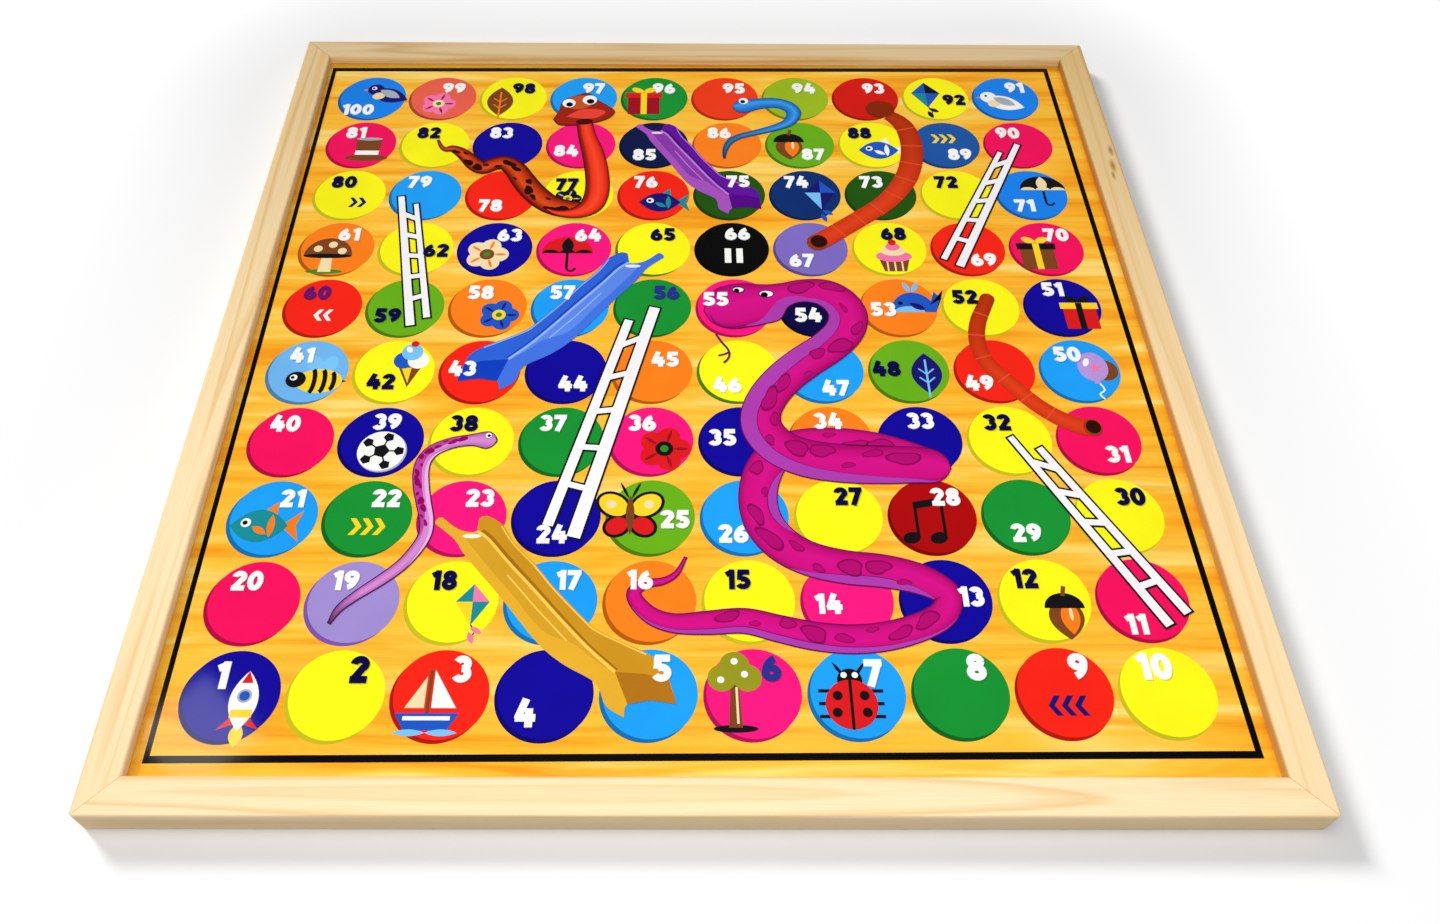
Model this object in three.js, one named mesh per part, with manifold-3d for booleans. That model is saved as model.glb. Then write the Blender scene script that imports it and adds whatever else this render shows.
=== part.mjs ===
// A framed snakes and ladders board. Four mitred pine rails hold a hardboard panel in a rebate
// cut from behind. The printed vinyl sheet is stuck to the panel's upper face, below the rails' lip.
// Two brads close each mitre, and small pins driven sideways into the rebate hold the panel up.
// Millimetres, +Z up, +X to the right and +Y away from the player who sits at the first row.
// The origin is the middle of the board, on the table that it lies on.
import * as THREE from "three";
import { mergeVertices } from "three/addons/utils/BufferGeometryUtils.js";
import Module from "manifold-3d";

const wasm = await Module();
wasm.setup();

// The frame's outside and the section of its rails
const FRAME_LENGTH = 500;
const FRAME_DEPTH = 500;
const RAIL_WIDTH = 16.5;
const RAIL_HEIGHT = 15;
const LIP_HEIGHT = 5;
const REBATE_WIDTH = 7;
const EDGE_RADIUS = 1.2;
const CORNER_RADIUS = 2.5;
const GLUE_LINE = 0.2;

// What the frame carries
const PANEL_THICKNESS = 3;
const SHEET_THICKNESS = 0.3;
const PANEL_CLEARANCE = 0.5;
const SEAT_CLEARANCE = 0.2;

// Brads that close the mitres
const BRAD_LENGTH = 25;
const BRAD_DIAMETER = 1.6;
const BRAD_HEAD_DIAMETER = 2.4;
const BRAD_HEAD_HEIGHT = 0.9;
const BRAD_POINT_LENGTH = 2.4;
const BRAD_SET_DEPTH = 0.5;
const BRAD_SPACING = 6;

// Pins that hold the panel in its rebate
const PIN_DIAMETER = 1.2;
const PIN_HEAD_DIAMETER = 2;
const PIN_HEAD_HEIGHT = 0.6;
const PIN_POINT_LENGTH = 1.8;
const PIN_PROUD = 5.5;
const PIN_COVER = 2.5;
const PIN_SPACING = 150;
const PINS_PER_RAIL = 3;

// Room around a nail in its hole, and how many flats a round thing has
const NAIL_CLEARANCE = 0.15;
const NAIL_SIDES = 12;
const ARC_STEPS = 5;

// Worked out from the values above
const wallWidth = RAIL_WIDTH - REBATE_WIDTH;
const lipUnderside = RAIL_HEIGHT - LIP_HEIGHT;
const sheetTop = lipUnderside - SEAT_CLEARANCE;
const panelTop = sheetTop - SHEET_THICKNESS;
const panelUnderside = panelTop - PANEL_THICKNESS;
const panelInset = wallWidth + PANEL_CLEARANCE;
const holeBreakout = 1;

const brad = {
  length: BRAD_LENGTH,
  radius: BRAD_DIAMETER / 2,
  headRadius: BRAD_HEAD_DIAMETER / 2,
  headHeight: BRAD_HEAD_HEIGHT,
  pointLength: BRAD_POINT_LENGTH,
};
const pin = {
  length: wallWidth - PIN_COVER + PIN_PROUD,
  radius: PIN_DIAMETER / 2,
  headRadius: PIN_HEAD_DIAMETER / 2,
  headHeight: PIN_HEAD_HEIGHT,
  pointLength: PIN_POINT_LENGTH,
};

const pine = new THREE.MeshStandardMaterial({ color: 0xe6c894, roughness: 0.6, metalness: 0 });
const hardboard = new THREE.MeshStandardMaterial({ color: 0x8a6238, roughness: 0.85, metalness: 0 });
const vinyl = new THREE.MeshStandardMaterial({ color: 0xf6b03c, roughness: 0.2, metalness: 0 });
const steel = new THREE.MeshStandardMaterial({ color: 0xa8a9ab, roughness: 0.35, metalness: 1 });

function solidFrom(geometry) {
  const bare = geometry.clone();
  bare.deleteAttribute("normal");
  bare.deleteAttribute("uv");
  const merged = mergeVertices(bare);
  return new wasm.Manifold(
    new wasm.Mesh({
      numProp: 3,
      vertProperties: merged.attributes.position.array,
      triVerts: new Uint32Array(merged.index.array),
    }),
  );
}

function geometryFrom(solid) {
  const mesh = solid.getMesh();
  const geometry = new THREE.BufferGeometry();
  geometry.setAttribute("position", new THREE.BufferAttribute(mesh.vertProperties, 3));
  geometry.setIndex(new THREE.BufferAttribute(mesh.triVerts, 1));
  geometry.computeVertexNormals();
  return geometry;
}

function named(name, geometry, material) {
  const mesh = new THREE.Mesh(geometry, material);
  mesh.name = name;
  return mesh;
}

// A rectangle in plan with rounded corners, as a prism that stands on z = 0.
function roundedPrism(length, depth, height, radius) {
  const x = length / 2;
  const y = depth / 2;
  const outline = new THREE.Shape();
  outline.moveTo(-x + radius, -y);
  outline.lineTo(x - radius, -y);
  outline.absarc(x - radius, -y + radius, radius, -Math.PI / 2, 0);
  outline.lineTo(x, y - radius);
  outline.absarc(x - radius, y - radius, radius, 0, Math.PI / 2);
  outline.lineTo(-x + radius, y);
  outline.absarc(-x + radius, y - radius, radius, Math.PI / 2, Math.PI);
  outline.lineTo(-x, -y + radius);
  outline.absarc(-x + radius, -y + radius, radius, Math.PI, 1.5 * Math.PI);
  return new THREE.ExtrudeGeometry(outline, { depth: height, bevelEnabled: false, curveSegments: ARC_STEPS });
}

// A rail's section: across is 0 at the outer face, and up is 0 at the table. The rebate is the step
// under the lip, and the long edges that a hand meets are eased.
function railSection() {
  const r = EDGE_RADIUS;
  const section = new THREE.Shape();
  section.moveTo(r, 0);
  section.lineTo(wallWidth, 0);
  section.lineTo(wallWidth, lipUnderside);
  section.lineTo(RAIL_WIDTH, lipUnderside);
  section.lineTo(RAIL_WIDTH, RAIL_HEIGHT - r);
  section.absarc(RAIL_WIDTH - r, RAIL_HEIGHT - r, r, 0, Math.PI / 2);
  section.lineTo(r, RAIL_HEIGHT);
  section.absarc(r, RAIL_HEIGHT - r, r, Math.PI / 2, Math.PI);
  section.lineTo(0, r);
  section.absarc(r, r, r, Math.PI, 1.5 * Math.PI);
  return section;
}

// The section run along X, its ends cut to 45 degrees by moving each corner in by its own distance
// from the outer face. The outer face is at y = -reach.
function mitredRail(length, reach) {
  const rail = new THREE.ExtrudeGeometry(railSection(), { depth: 1, bevelEnabled: false, curveSegments: ARC_STEPS });
  const place = rail.attributes.position;
  for (let i = 0; i < place.count; i++) {
    const across = place.getX(i);
    const up = place.getY(i);
    const side = place.getZ(i) > 0.5 ? 1 : -1;
    place.setXYZ(i, side * (length / 2 - across - GLUE_LINE / 2), across - reach, up);
  }
  return rail;
}

// A nail whose head's top is at the origin and whose point looks along -Y. A hole for it is the same
// shape with the clearance added all round, and breaks out past the head.
function nailShape(nail, clearance, breakout) {
  const r = nail.radius + clearance;
  const head = nail.headRadius + clearance;
  const neck = -nail.headHeight - clearance;
  const shoulder = -nail.length + nail.pointLength;
  const tip = -nail.length - clearance;
  const profile = [
    new THREE.Vector2(0, tip),
    new THREE.Vector2(r, shoulder),
    new THREE.Vector2(r, neck),
    new THREE.Vector2(head, neck),
    new THREE.Vector2(head, breakout),
    new THREE.Vector2(0, breakout),
  ];
  return new THREE.LatheGeometry(profile, NAIL_SIDES);
}

function placedAt(x, y, z, turn) {
  const place = new THREE.Object3D();
  place.position.set(x, y, z);
  place.rotation.z = turn;
  place.updateMatrix();
  return place;
}

// Two brads at each corner, driven from the side rails' outer faces into the ends of the front and
// rear rails, half-way across the wall beside the rebate.
function bradPlaces() {
  const places = [];
  for (const [endName, end] of [["front", -1], ["rear", 1]]) {
    for (const [sideName, side] of [["left", -1], ["right", 1]]) {
      for (const [levelName, level] of [["lower", -1], ["upper", 1]]) {
        const x = side * (FRAME_LENGTH / 2 - BRAD_SET_DEPTH);
        const y = end * (FRAME_DEPTH / 2 - wallWidth / 2);
        const z = RAIL_HEIGHT / 2 + (level * BRAD_SPACING) / 2;
        const turn = (-side * Math.PI) / 2;
        places.push({ name: `corner_brad_${endName}_${sideName}_${levelName}`, place: placedAt(x, y, z, turn) });
      }
    }
  }
  return places;
}

// Pins in a rail's own frame: the point is in the wall beside the rebate, and the head end stands
// out under the panel.
function pinPlaces(reach) {
  const y = -reach + wallWidth + PIN_PROUD;
  const z = panelUnderside - SEAT_CLEARANCE - pin.headRadius;
  const places = [];
  for (let i = 0; i < PINS_PER_RAIL; i++) {
    const x = (i - (PINS_PER_RAIL - 1) / 2) * PIN_SPACING;
    places.push(placedAt(x, y, z, 0));
  }
  return places;
}

function cutHoles(rail, shape, matrices) {
  let solid = rail;
  for (const matrix of matrices) {
    solid = solid.subtract(solidFrom(shape.clone().applyMatrix4(matrix)));
  }
  return solid;
}

// A rail with its pins, in a group that turns it to its side of the frame.
function railGroup(side, quarterTurns, length, reach, brads) {
  const group = new THREE.Group();
  group.rotation.z = (quarterTurns * Math.PI) / 2;
  group.updateMatrix();
  const toRail = group.matrix.clone().invert();
  const pins = pinPlaces(reach);
  const bradHoles = brads.map(({ place }) => toRail.clone().multiply(place.matrix));
  const pinHoles = pins.map((place) => place.matrix);

  const rounded = roundedPrism(length, 2 * reach, RAIL_HEIGHT, CORNER_RADIUS);
  let solid = solidFrom(mitredRail(length, reach)).intersect(solidFrom(rounded));
  solid = cutHoles(solid, nailShape(brad, NAIL_CLEARANCE, BRAD_SET_DEPTH + holeBreakout), bradHoles);
  solid = cutHoles(solid, nailShape(pin, NAIL_CLEARANCE, holeBreakout), pinHoles);
  group.add(named(`${side}_rail`, geometryFrom(solid), pine));

  pins.forEach((place, i) => {
    const mesh = named(`panel_pin_${side}_${i + 1}`, nailShape(pin, 0, 0), steel);
    mesh.position.copy(place.position);
    mesh.rotation.copy(place.rotation);
    group.add(mesh);
  });
  return group;
}

const board = new THREE.Group();
const brads = bradPlaces();
const halfLength = FRAME_LENGTH / 2;
const halfDepth = FRAME_DEPTH / 2;
board.add(railGroup("front", 0, FRAME_LENGTH, halfDepth, brads));
board.add(railGroup("right", 1, FRAME_DEPTH, halfLength, brads));
board.add(railGroup("rear", 2, FRAME_LENGTH, halfDepth, brads));
board.add(railGroup("left", 3, FRAME_DEPTH, halfLength, brads));

for (const { name, place } of brads) {
  const mesh = named(name, nailShape(brad, 0, 0), steel);
  mesh.position.copy(place.position);
  mesh.rotation.copy(place.rotation);
  board.add(mesh);
}

// The panel fills the rebate, and the sheet is trimmed flush with it.
const panelLength = FRAME_LENGTH - 2 * panelInset;
const panelDepth = FRAME_DEPTH - 2 * panelInset;
const panel = named("backing_panel", new THREE.BoxGeometry(panelLength, panelDepth, PANEL_THICKNESS), hardboard);
panel.position.z = panelUnderside + PANEL_THICKNESS / 2;
const sheet = named("printed_sheet", new THREE.BoxGeometry(panelLength, panelDepth, SHEET_THICKNESS), vinyl);
sheet.position.z = panelTop + SHEET_THICKNESS / 2;
board.add(panel, sheet);

export default board;
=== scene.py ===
import math

import bpy
from mathutils import Matrix, Vector
from mathutils.geometry import delaunay_2d_cdt


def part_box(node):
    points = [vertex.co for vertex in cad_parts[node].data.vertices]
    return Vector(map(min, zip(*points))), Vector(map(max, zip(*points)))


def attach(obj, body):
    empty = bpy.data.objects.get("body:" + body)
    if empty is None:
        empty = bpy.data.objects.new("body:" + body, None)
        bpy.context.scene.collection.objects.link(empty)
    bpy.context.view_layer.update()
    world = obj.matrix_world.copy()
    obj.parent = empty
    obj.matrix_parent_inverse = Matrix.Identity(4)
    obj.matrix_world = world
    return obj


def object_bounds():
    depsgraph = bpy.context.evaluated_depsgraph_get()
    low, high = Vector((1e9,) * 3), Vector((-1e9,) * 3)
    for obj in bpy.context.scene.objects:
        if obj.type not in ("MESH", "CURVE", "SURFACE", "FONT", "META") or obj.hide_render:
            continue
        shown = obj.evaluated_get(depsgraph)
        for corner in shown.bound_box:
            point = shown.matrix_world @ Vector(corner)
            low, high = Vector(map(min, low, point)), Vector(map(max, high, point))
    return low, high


# The looks of a framed snakes and ladders board. Lengths are millimetres on the printed face, with
# x to the right, y away from the player and (0, 0) in the middle, and MM turns them into metres.
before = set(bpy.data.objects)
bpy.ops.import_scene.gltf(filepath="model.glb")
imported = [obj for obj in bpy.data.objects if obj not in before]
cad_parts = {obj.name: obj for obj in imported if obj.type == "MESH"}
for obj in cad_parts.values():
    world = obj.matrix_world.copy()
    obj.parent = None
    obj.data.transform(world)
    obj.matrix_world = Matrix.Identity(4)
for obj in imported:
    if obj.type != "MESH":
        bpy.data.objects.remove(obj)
cad_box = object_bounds()

MM = 0.001
PRINT_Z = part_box("printed_sheet")[1].z
INK_STEP = 0.01 * MM

# The numbered spaces: ten rows of ten discs, each drawn as a flat counter seen a little from above
SPACES_PER_ROW = 10
PITCH = 44.0
GRID_CENTRE = (-2.9, 1.3)
PRINT_TURN = 0.33
DISC_RADIUS = 20.2
DISC_LIFT = (0.6, 0.7)
RIM_DROP = (-0.8, -0.9)
DISC_POINTS = 96

# The opening in the frame: painted shade darkens the print at its edge, the rails' walls around it
# get painted shade (painted light bounced from the print on the rear rail), and painted shade
# darkens the side rails between two distances from the player
OPENING_HALF = 233.5 * MM
EDGE_PAINTED_SHADE = 3.0 * MM
WALL_PAINTED_LIGHT_AND_SHADE = (0.2 * MM, 1.2 * MM)
PAINTED_FALLOFF_START, PAINTED_FALLOFF_END = -100.0 * MM, 235.0 * MM

# The black line around the spaces
BORDER_CENTRE = (-1.5, 2.4)
BORDER_LENGTH = 457.6
BORDER_DEPTH = 455.6
BORDER_FRONT, BORDER_REAR = 3.2, 3.6
BORDER_LEFT, BORDER_RIGHT = 2.4, 2.8

# Numerals
NUMERAL_HEIGHT = 10.0
FIRST_ROW_NUMERAL_HEIGHT = 12.5
NUMERAL_STROKE = 0.26
NUMERAL_GAP = 0.06

# Ink levels, from the sheet upwards
LEVEL_BORDER = 1
LEVEL_RIM = 1
LEVEL_DISC = 2
LEVEL_MOTIF = 3
LEVEL_TRACK = 22
LEVEL_SNAKE = 30
LEVEL_NUMERAL = 45

# Snakes, ladders, slides and tubes
OUTLINE = 0.55
FINE_OUTLINE = 0.33
LADDER_OUTLINE = 0.95
THINNEST = 0.25
RIBBON_COLUMNS = 4
RIBBON_MAP = "strip"
RIGHT, LEFT = -1, 1
LADDER_RUNGS = 5
FIRST_RUNG, RUNG_STEP = 0.185, 0.168
RUNG_WIDTH = 3.2
BELLY_LINE = 0.45
BAND_SWELL = 0.8
EYE_EDGE = 0.2
PUPIL_SHARE = 0.52
SEAM_SPACING = 15.5
SEAM_WIDTH = 0.9

# A snake's spots: bulges as (number around, size, what the seed is multiplied by), the breadth as a
# share of the length, the inner part's size, and how one spot differs from the next
SPOT_BULGES = ((2, 0.18, 1.0), (3, 0.10, 2.1))
SPOT_BREADTH = 0.55
SPOT_CORE = (0.86, 0.78)
SPOT_SWAY_STEP = 2.3
SPOT_TURN = 10.0
SPOT_GROWTH, SPOT_GROWTH_STEP = 0.45, 1.7

# Colours are 0 to 255 screen values
WHITE = (255, 255, 255)
INK_WHITE = (250, 250, 248)
INK_BLACK = (5, 4, 5)
MIDNIGHT = (8, 4, 66)

# The discs: each ink's colour and the spaces that have it
SPACES = {
    "navy": ((14, 4, 152), (1, 4, 13, 24, 33, 35, 39, 44, 51, 63, 83)),
    "yellow": ((255, 248, 24), (
        2, 10, 12, 15, 18, 27, 30, 32, 38, 42, 46, 52, 62, 65, 68, 72, 77, 80, 82, 88, 92, 98,
    )),
    "red": ((248, 36, 20), (3, 9, 43, 49, 60, 69, 76, 78)),
    "scarlet": ((215, 26, 16), (93,)),
    "sky": ((28, 160, 248), (5, 7, 17, 21, 26, 47, 50, 57, 79, 97)),
    "pink": ((252, 22, 126), (6, 14, 23, 36, 55, 64, 84)),
    "green": ((22, 146, 50), (8, 22, 29, 37, 56, 96)),
    "crimson": ((248, 14, 94), (11, 20, 31, 40, 70, 81, 90)),
    "orange": ((255, 130, 26), (16, 34, 45, 53, 58, 61, 86)),
    "lilac": ((160, 140, 208), (19,)),
    "mauve": ((126, 108, 194), (67,)),
    "lime": ((104, 176, 24), (25, 48, 59, 87)),
    "olive": ((158, 188, 32), (94,)),
    "dark_red": ((174, 6, 8), (28,)),
    "light_blue": ((112, 182, 240), (41,)),
    "midnight": (MIDNIGHT, (54,)),
    "black": (INK_BLACK, (66,)),
    "azure": ((24, 132, 240), (71, 91, 100)),
    "dark_green": ((32, 85, 12), (73, 75)),
    "dark_blue": ((10, 46, 112), (74,)),
    "slate": ((8, 24, 72), (85,)),
    "royal": ((28, 86, 164), (89,)),
    "red_orange": ((244, 60, 24), (95,)),
    "salmon": ((236, 98, 76), (99,)),
}

# A rim is its disc's colour in shade, apart from these
RIM_SHADE = 0.45
RIM_COLOURS = {"yellow": (198, 188, 30), "lilac": (124, 84, 172)}
LIME_RIMS = (46, 65)

# The numerals: each ink's colour and the spaces that have it, where white has all the others
NUMERALS = {
    "white": (INK_WHITE, ()),
    "midnight": (MIDNIGHT, (
        2, 12, 15, 18, 27, 30, 32, 38, 42, 48, 52, 59, 62, 65, 68, 72, 77, 80, 82, 88, 92, 98,
    )),
    "purple": ((96, 20, 110), (60,)),
    "indigo": ((38, 48, 140), (6, 56)),
}

# The middle of each numeral, from the middle of its space
NUMERAL_PLACES = {
    (7.5, 11.0): (17, 21, 22, 23, 28, 30, 56, 63, 64, 70, 91),
    (5.5, 11.5): (27, 61, 65, 75),
    (6.0, 10.0): (93, 94, 95, 96, 97, 98, 99),
    (3.5, 12.0): (66, 68),
    (6.8, 8.0): (45,),
    (-4.5, 11.0): (15, 16, 18, 19, 20, 32, 36, 37, 38, 40, 41, 50, 57, 58, 60, 72, 73, 74, 76, 79,
                   80, 81, 82, 83, 86, 90),
    (-7.0, 11.0): (12, 88),
    (-3.0, 13.0): (51,),
    (-7.5, 7.5): (52,),
    (1.5, 12.0): (33, 39),
    (-0.5, 12.0): (34,),
    (-6.5, 9.0): (77,),
    (-5.5, -9.0): (26, 46, 67, 71, 78, 85),
    (-5.5, -12.0): (11,),
    (-5.5, -6.5): (42,),
    (-9.0, -8.0): (49,),
    (-7.0, -11.0): (100,),
    (-1.5, -9.0): (24, 29),
    (-8.5, -5.5): (59, 84),
    (7.5, -8.5): (31, 69, 87, 89),
    (5.5, -11.0): (47,),
    (4.0, -8.0): (44,),
    (-9.0, 2.0): (35, 43),
    (-8.5, -1.5): (14, 53),
    (-11.5, 1.5): (48,),
    (11.5, -1.0): (25, 62, 92),
    (11.5, 2.0): (13,),
    (-10.0, 6.0): (55,),
    (-5.0, -5.5): (54,),
    (-5.5, 9.5): (1,),
    (8.3, 12.0): (2, 3, 6, 8, 9),
    (-7.5, -8.0): (4,),
    (5.5, 12.0): (5,),
    (8.0, 9.5): (7,),
    (-3.0, 12.0): (10,),
}


# Flat shapes. Where outlines are merged, what lies inside them is kept, and points this close
# become one.
MERGE_INSIDE = 1
MERGE_DISTANCE = 1e-5


def turns(points):
    return [2.0 * math.pi * i / points for i in range(points)]


def placed(outline, x, y, turn=0.0, size=1.0):
    c = math.cos(math.radians(turn)) * size
    s = math.sin(math.radians(turn)) * size
    return [(x + c * px - s * py, y + s * px + c * py) for px, py in outline]


def scaled(outline, across, up):
    """An outline made larger or smaller about its middle."""
    x = sum(px for px, _ in outline) / len(outline)
    y = sum(py for _, py in outline) / len(outline)
    return [(x + across * (px - x), y + up * (py - y)) for px, py in outline]


def ellipse(x, y, across, up, turn=0.0, points=36):
    flat = [(across * math.cos(a), up * math.sin(a)) for a in turns(points)]
    return placed(flat, x, y, turn)


def circle(x, y, radius, points=36):
    return ellipse(x, y, radius, radius, 0.0, points)


def blob(x, y, along, across, turn, seed, points=24):
    """An uneven spot; its seed picks the bulges."""
    flat = []
    for a in turns(points):
        waves = [size * math.sin(count * a + mix * seed) for count, size, mix in SPOT_BULGES]
        bulge = 1.0 + sum(waves)
        flat.append((along * bulge * math.cos(a), across * bulge * math.sin(a)))
    return placed(flat, x, y, turn)


def rectangle(x, y, across, up, turn=0.0):
    return placed([(-across, -up), (across, -up), (across, up), (-across, up)], x, y, turn)


def arc(x, y, across, up, start, end, points):
    angles = [math.radians(start + (end - start) * i / points) for i in range(points + 1)]
    return [(x + across * math.cos(a), y + up * math.sin(a)) for a in angles]


def dome(x, y, across, up):
    return arc(x, y, across, up, 0.0, 180.0, 20)


def lens(x, y, across, up, turn=0.0, points=12):
    """A leaf shape with pointed ends."""
    shares = [2.0 * i / points - 1.0 for i in range(points + 1)]
    right = [(across * (1.0 - t * t), up * t) for t in shares]
    left = [(-px, py) for px, py in reversed(right[1:-1])]
    return placed(right + left, x, y, turn)


def star(x, y, outer, inner, count):
    radii = [outer, inner] * count
    flat = [(-r * math.sin(a), r * math.cos(a)) for r, a in zip(radii, turns(2 * count))]
    return placed(flat, x, y)


def edges_of(path, half_widths):
    """The left and right edge of a path, from the mean direction at each of its points."""
    left, right = [], []
    for i, (x, y) in enumerate(path):
        ahead = path[min(i + 1, len(path) - 1)]
        behind = path[max(i - 1, 0)]
        along = Vector((ahead[0] - behind[0], ahead[1] - behind[1])).normalized() * half_widths[i]
        left.append((x - along.y, y + along.x))
        right.append((x + along.y, y - along.x))
    return left, right


def stroke(path, width):
    """Quads that follow a path at a constant width, with square ends."""
    left, right = edges_of(path, [width / 2.0] * len(path))
    return [[right[i], right[i + 1], left[i + 1], left[i]] for i in range(len(path) - 1)]


def line(path, width, end_width=None):
    """One outline along a path, with square ends."""
    last = len(path) - 1
    growth = 0.0 if end_width is None else end_width - width
    left, right = edges_of(path, [(width + growth * i / last) / 2.0 for i in range(last + 1)])
    return right + left[::-1]


def smooth_path(points, step=1.5):
    """A Catmull-Rom curve through points with any number of coordinates, cut about every step."""
    ends = [points[0]] + list(points) + [points[-1]]
    path = []
    for a, b, c, d in zip(ends, ends[1:], ends[2:], ends[3:]):
        a, b, c, d = Vector(a), Vector(b), Vector(c), Vector(d)
        count = max(2, round((c - b).length / step))
        for i in range(count):
            t = i / count
            bend = (2 * a - 5 * b + 4 * c - d) * t ** 2 + (3 * b - a - 3 * c + d) * t ** 3
            path.append(tuple(b + 0.5 * ((c - a) * t + bend)))
    path.append(tuple(points[-1]))
    return path


def counter_clockwise(outline):
    area = sum(a[0] * b[1] - b[0] * a[1] for a, b in zip(outline, outline[1:] + outline[:1]))
    return outline if area > 0 else outline[::-1]


def union(outlines):
    """The points and faces of a flat mesh that covers all the outlines once."""
    if len(outlines) == 1:
        outline = counter_clockwise(outlines[0])
        return outline, [list(range(len(outline)))]
    points, rings = [], []
    for outline in outlines:
        ring = counter_clockwise(list(outline))
        rings.append(list(range(len(points), len(points) + len(ring))))
        points += [Vector(p) for p in ring]
    merged = delaunay_2d_cdt(points, [], rings, MERGE_INSIDE, MERGE_DISTANCE, True)
    spots, _, faces, _, _, sources = merged
    return [(p.x, p.y) for p in spots], [list(f) for f, source in zip(faces, sources) if source]


# Pieces of ink: closed films that stand on the printed sheet

class Ink:
    """Gathers the films of one piece, each as high as its level above the sheet."""

    def __init__(self, name, material):
        self.name = name
        self.material = material
        self.spots = []
        self.faces = []

    def film(self, flat, level):
        """Adds a film over the points and faces of a flat mesh, from the sheet up to a level."""
        points, faces = flat
        top = PRINT_Z + level * INK_STEP
        used = sorted({i for face in faces for i in face})
        upper = {old: len(self.spots) + new for new, old in enumerate(used)}
        self.spots += [(points[i][0] * MM, points[i][1] * MM, top) for i in used]
        lower = {old: len(self.spots) + new for new, old in enumerate(used)}
        self.spots += [(points[i][0] * MM, points[i][1] * MM, PRINT_Z) for i in used]
        sides = set()
        for face in faces:
            self.faces.append([upper[i] for i in face])
            self.faces.append([lower[i] for i in reversed(face)])
            sides.update(zip(face, face[1:] + face[:1]))
        for a, b in sorted(sides):
            if (b, a) not in sides:
                self.faces.append([upper[b], upper[a], lower[a], lower[b]])

    def outline(self, outline, level):
        self.film(union([outline]), level)

    def build(self):
        mesh = bpy.data.meshes.new(self.name)
        mesh.from_pydata(self.spots, [], self.faces)
        mesh.materials.append(self.material)
        piece = add_object(self.name, mesh)
        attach(piece, "root")
        return mesh


def add_object(name, data):
    thing = bpy.data.objects.new(name, data)
    bpy.context.scene.collection.objects.link(thing)
    return thing


# Materials

FULL = (1.0, 1.0, 1.0, 1.0)
NO_LIGHT = (0.0, 0.0, 0.0, 1.0)

# Ink: how much its light varies, and what the clear film over it takes away or adds
INK_DEEP, INK_LIGHT = 0.94, 1.03
INK_MOTTLE = 0.08
FILM_ROUGHNESS = (0.34, 0.52)
FILM_COAT, FILM_COAT_ROUGHNESS = 0.5, 0.07

# The sheet's printed wood, from its dark bands to its pale ones
SHEET_BANDS = (
    (0.32, (246, 156, 26)), (0.45, (255, 184, 46)), (0.57, (255, 198, 66)), (0.68, (255, 220, 118)),
)
SHEET_STREAK, STREAK_STRENGTH = (0.82, 0.62, 0.36, 1.0), 0.5
# Painted shade on the print next to the rails: its colour and how strong it is
SHEET_PAINTED_SHADE, PAINTED_SHADE_STRENGTH = (0.70, 0.55, 0.40, 1.0), 0.7

# Pine: how far its two kinds of line are below the pale wood, where they lie in the growth noise,
# and how a rail's number moves the grain
PINE_LATE, PINE_SOFT = (14, 24, 36), (7, 13, 20)
PINE_LINES = (
    (0.30, 0.355, 0.37, "soft"), (0.42, 0.455, 0.468, "late"), (0.52, 0.548, 0.56, "soft"),
    (0.61, 0.645, 0.66, "late"),
)
PINE_TINT = (1.0, 0.93, 0.86, 1.0)
PINE_FIBRE = (0.93, 0.90, 0.85, 1.0)
PINE_STRENGTH = 0.8
PINE_SHIFT = (3.7, 1.9, 0.6)
KNOT_HEART, KNOT_EDGE = (0.32, 0.20, 0.10, 1.0), (0.55, 0.40, 0.26, 1.0)
KNOT_STRENGTH = 0.85
KNOT_SQUEEZE = 0.3

# The colour sockets of a Mix node
MIX_FACTOR, MIX_FIRST, MIX_SECOND, MIX_RESULT = 0, 6, 7, 2


def linear(colour, shade=1.0):
    """A colour in 0 to 255 screen values as linear light, with its light multiplied by shade."""
    parts = [c / 255.0 for c in colour]
    light = [c / 12.92 if c <= 0.04045 else ((c + 0.055) / 1.055) ** 2.4 for c in parts]
    return (*(shade * c for c in light), 1.0)


def linear_stops(stops):
    return [(place, linear(colour)) for place, colour in stops]


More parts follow.
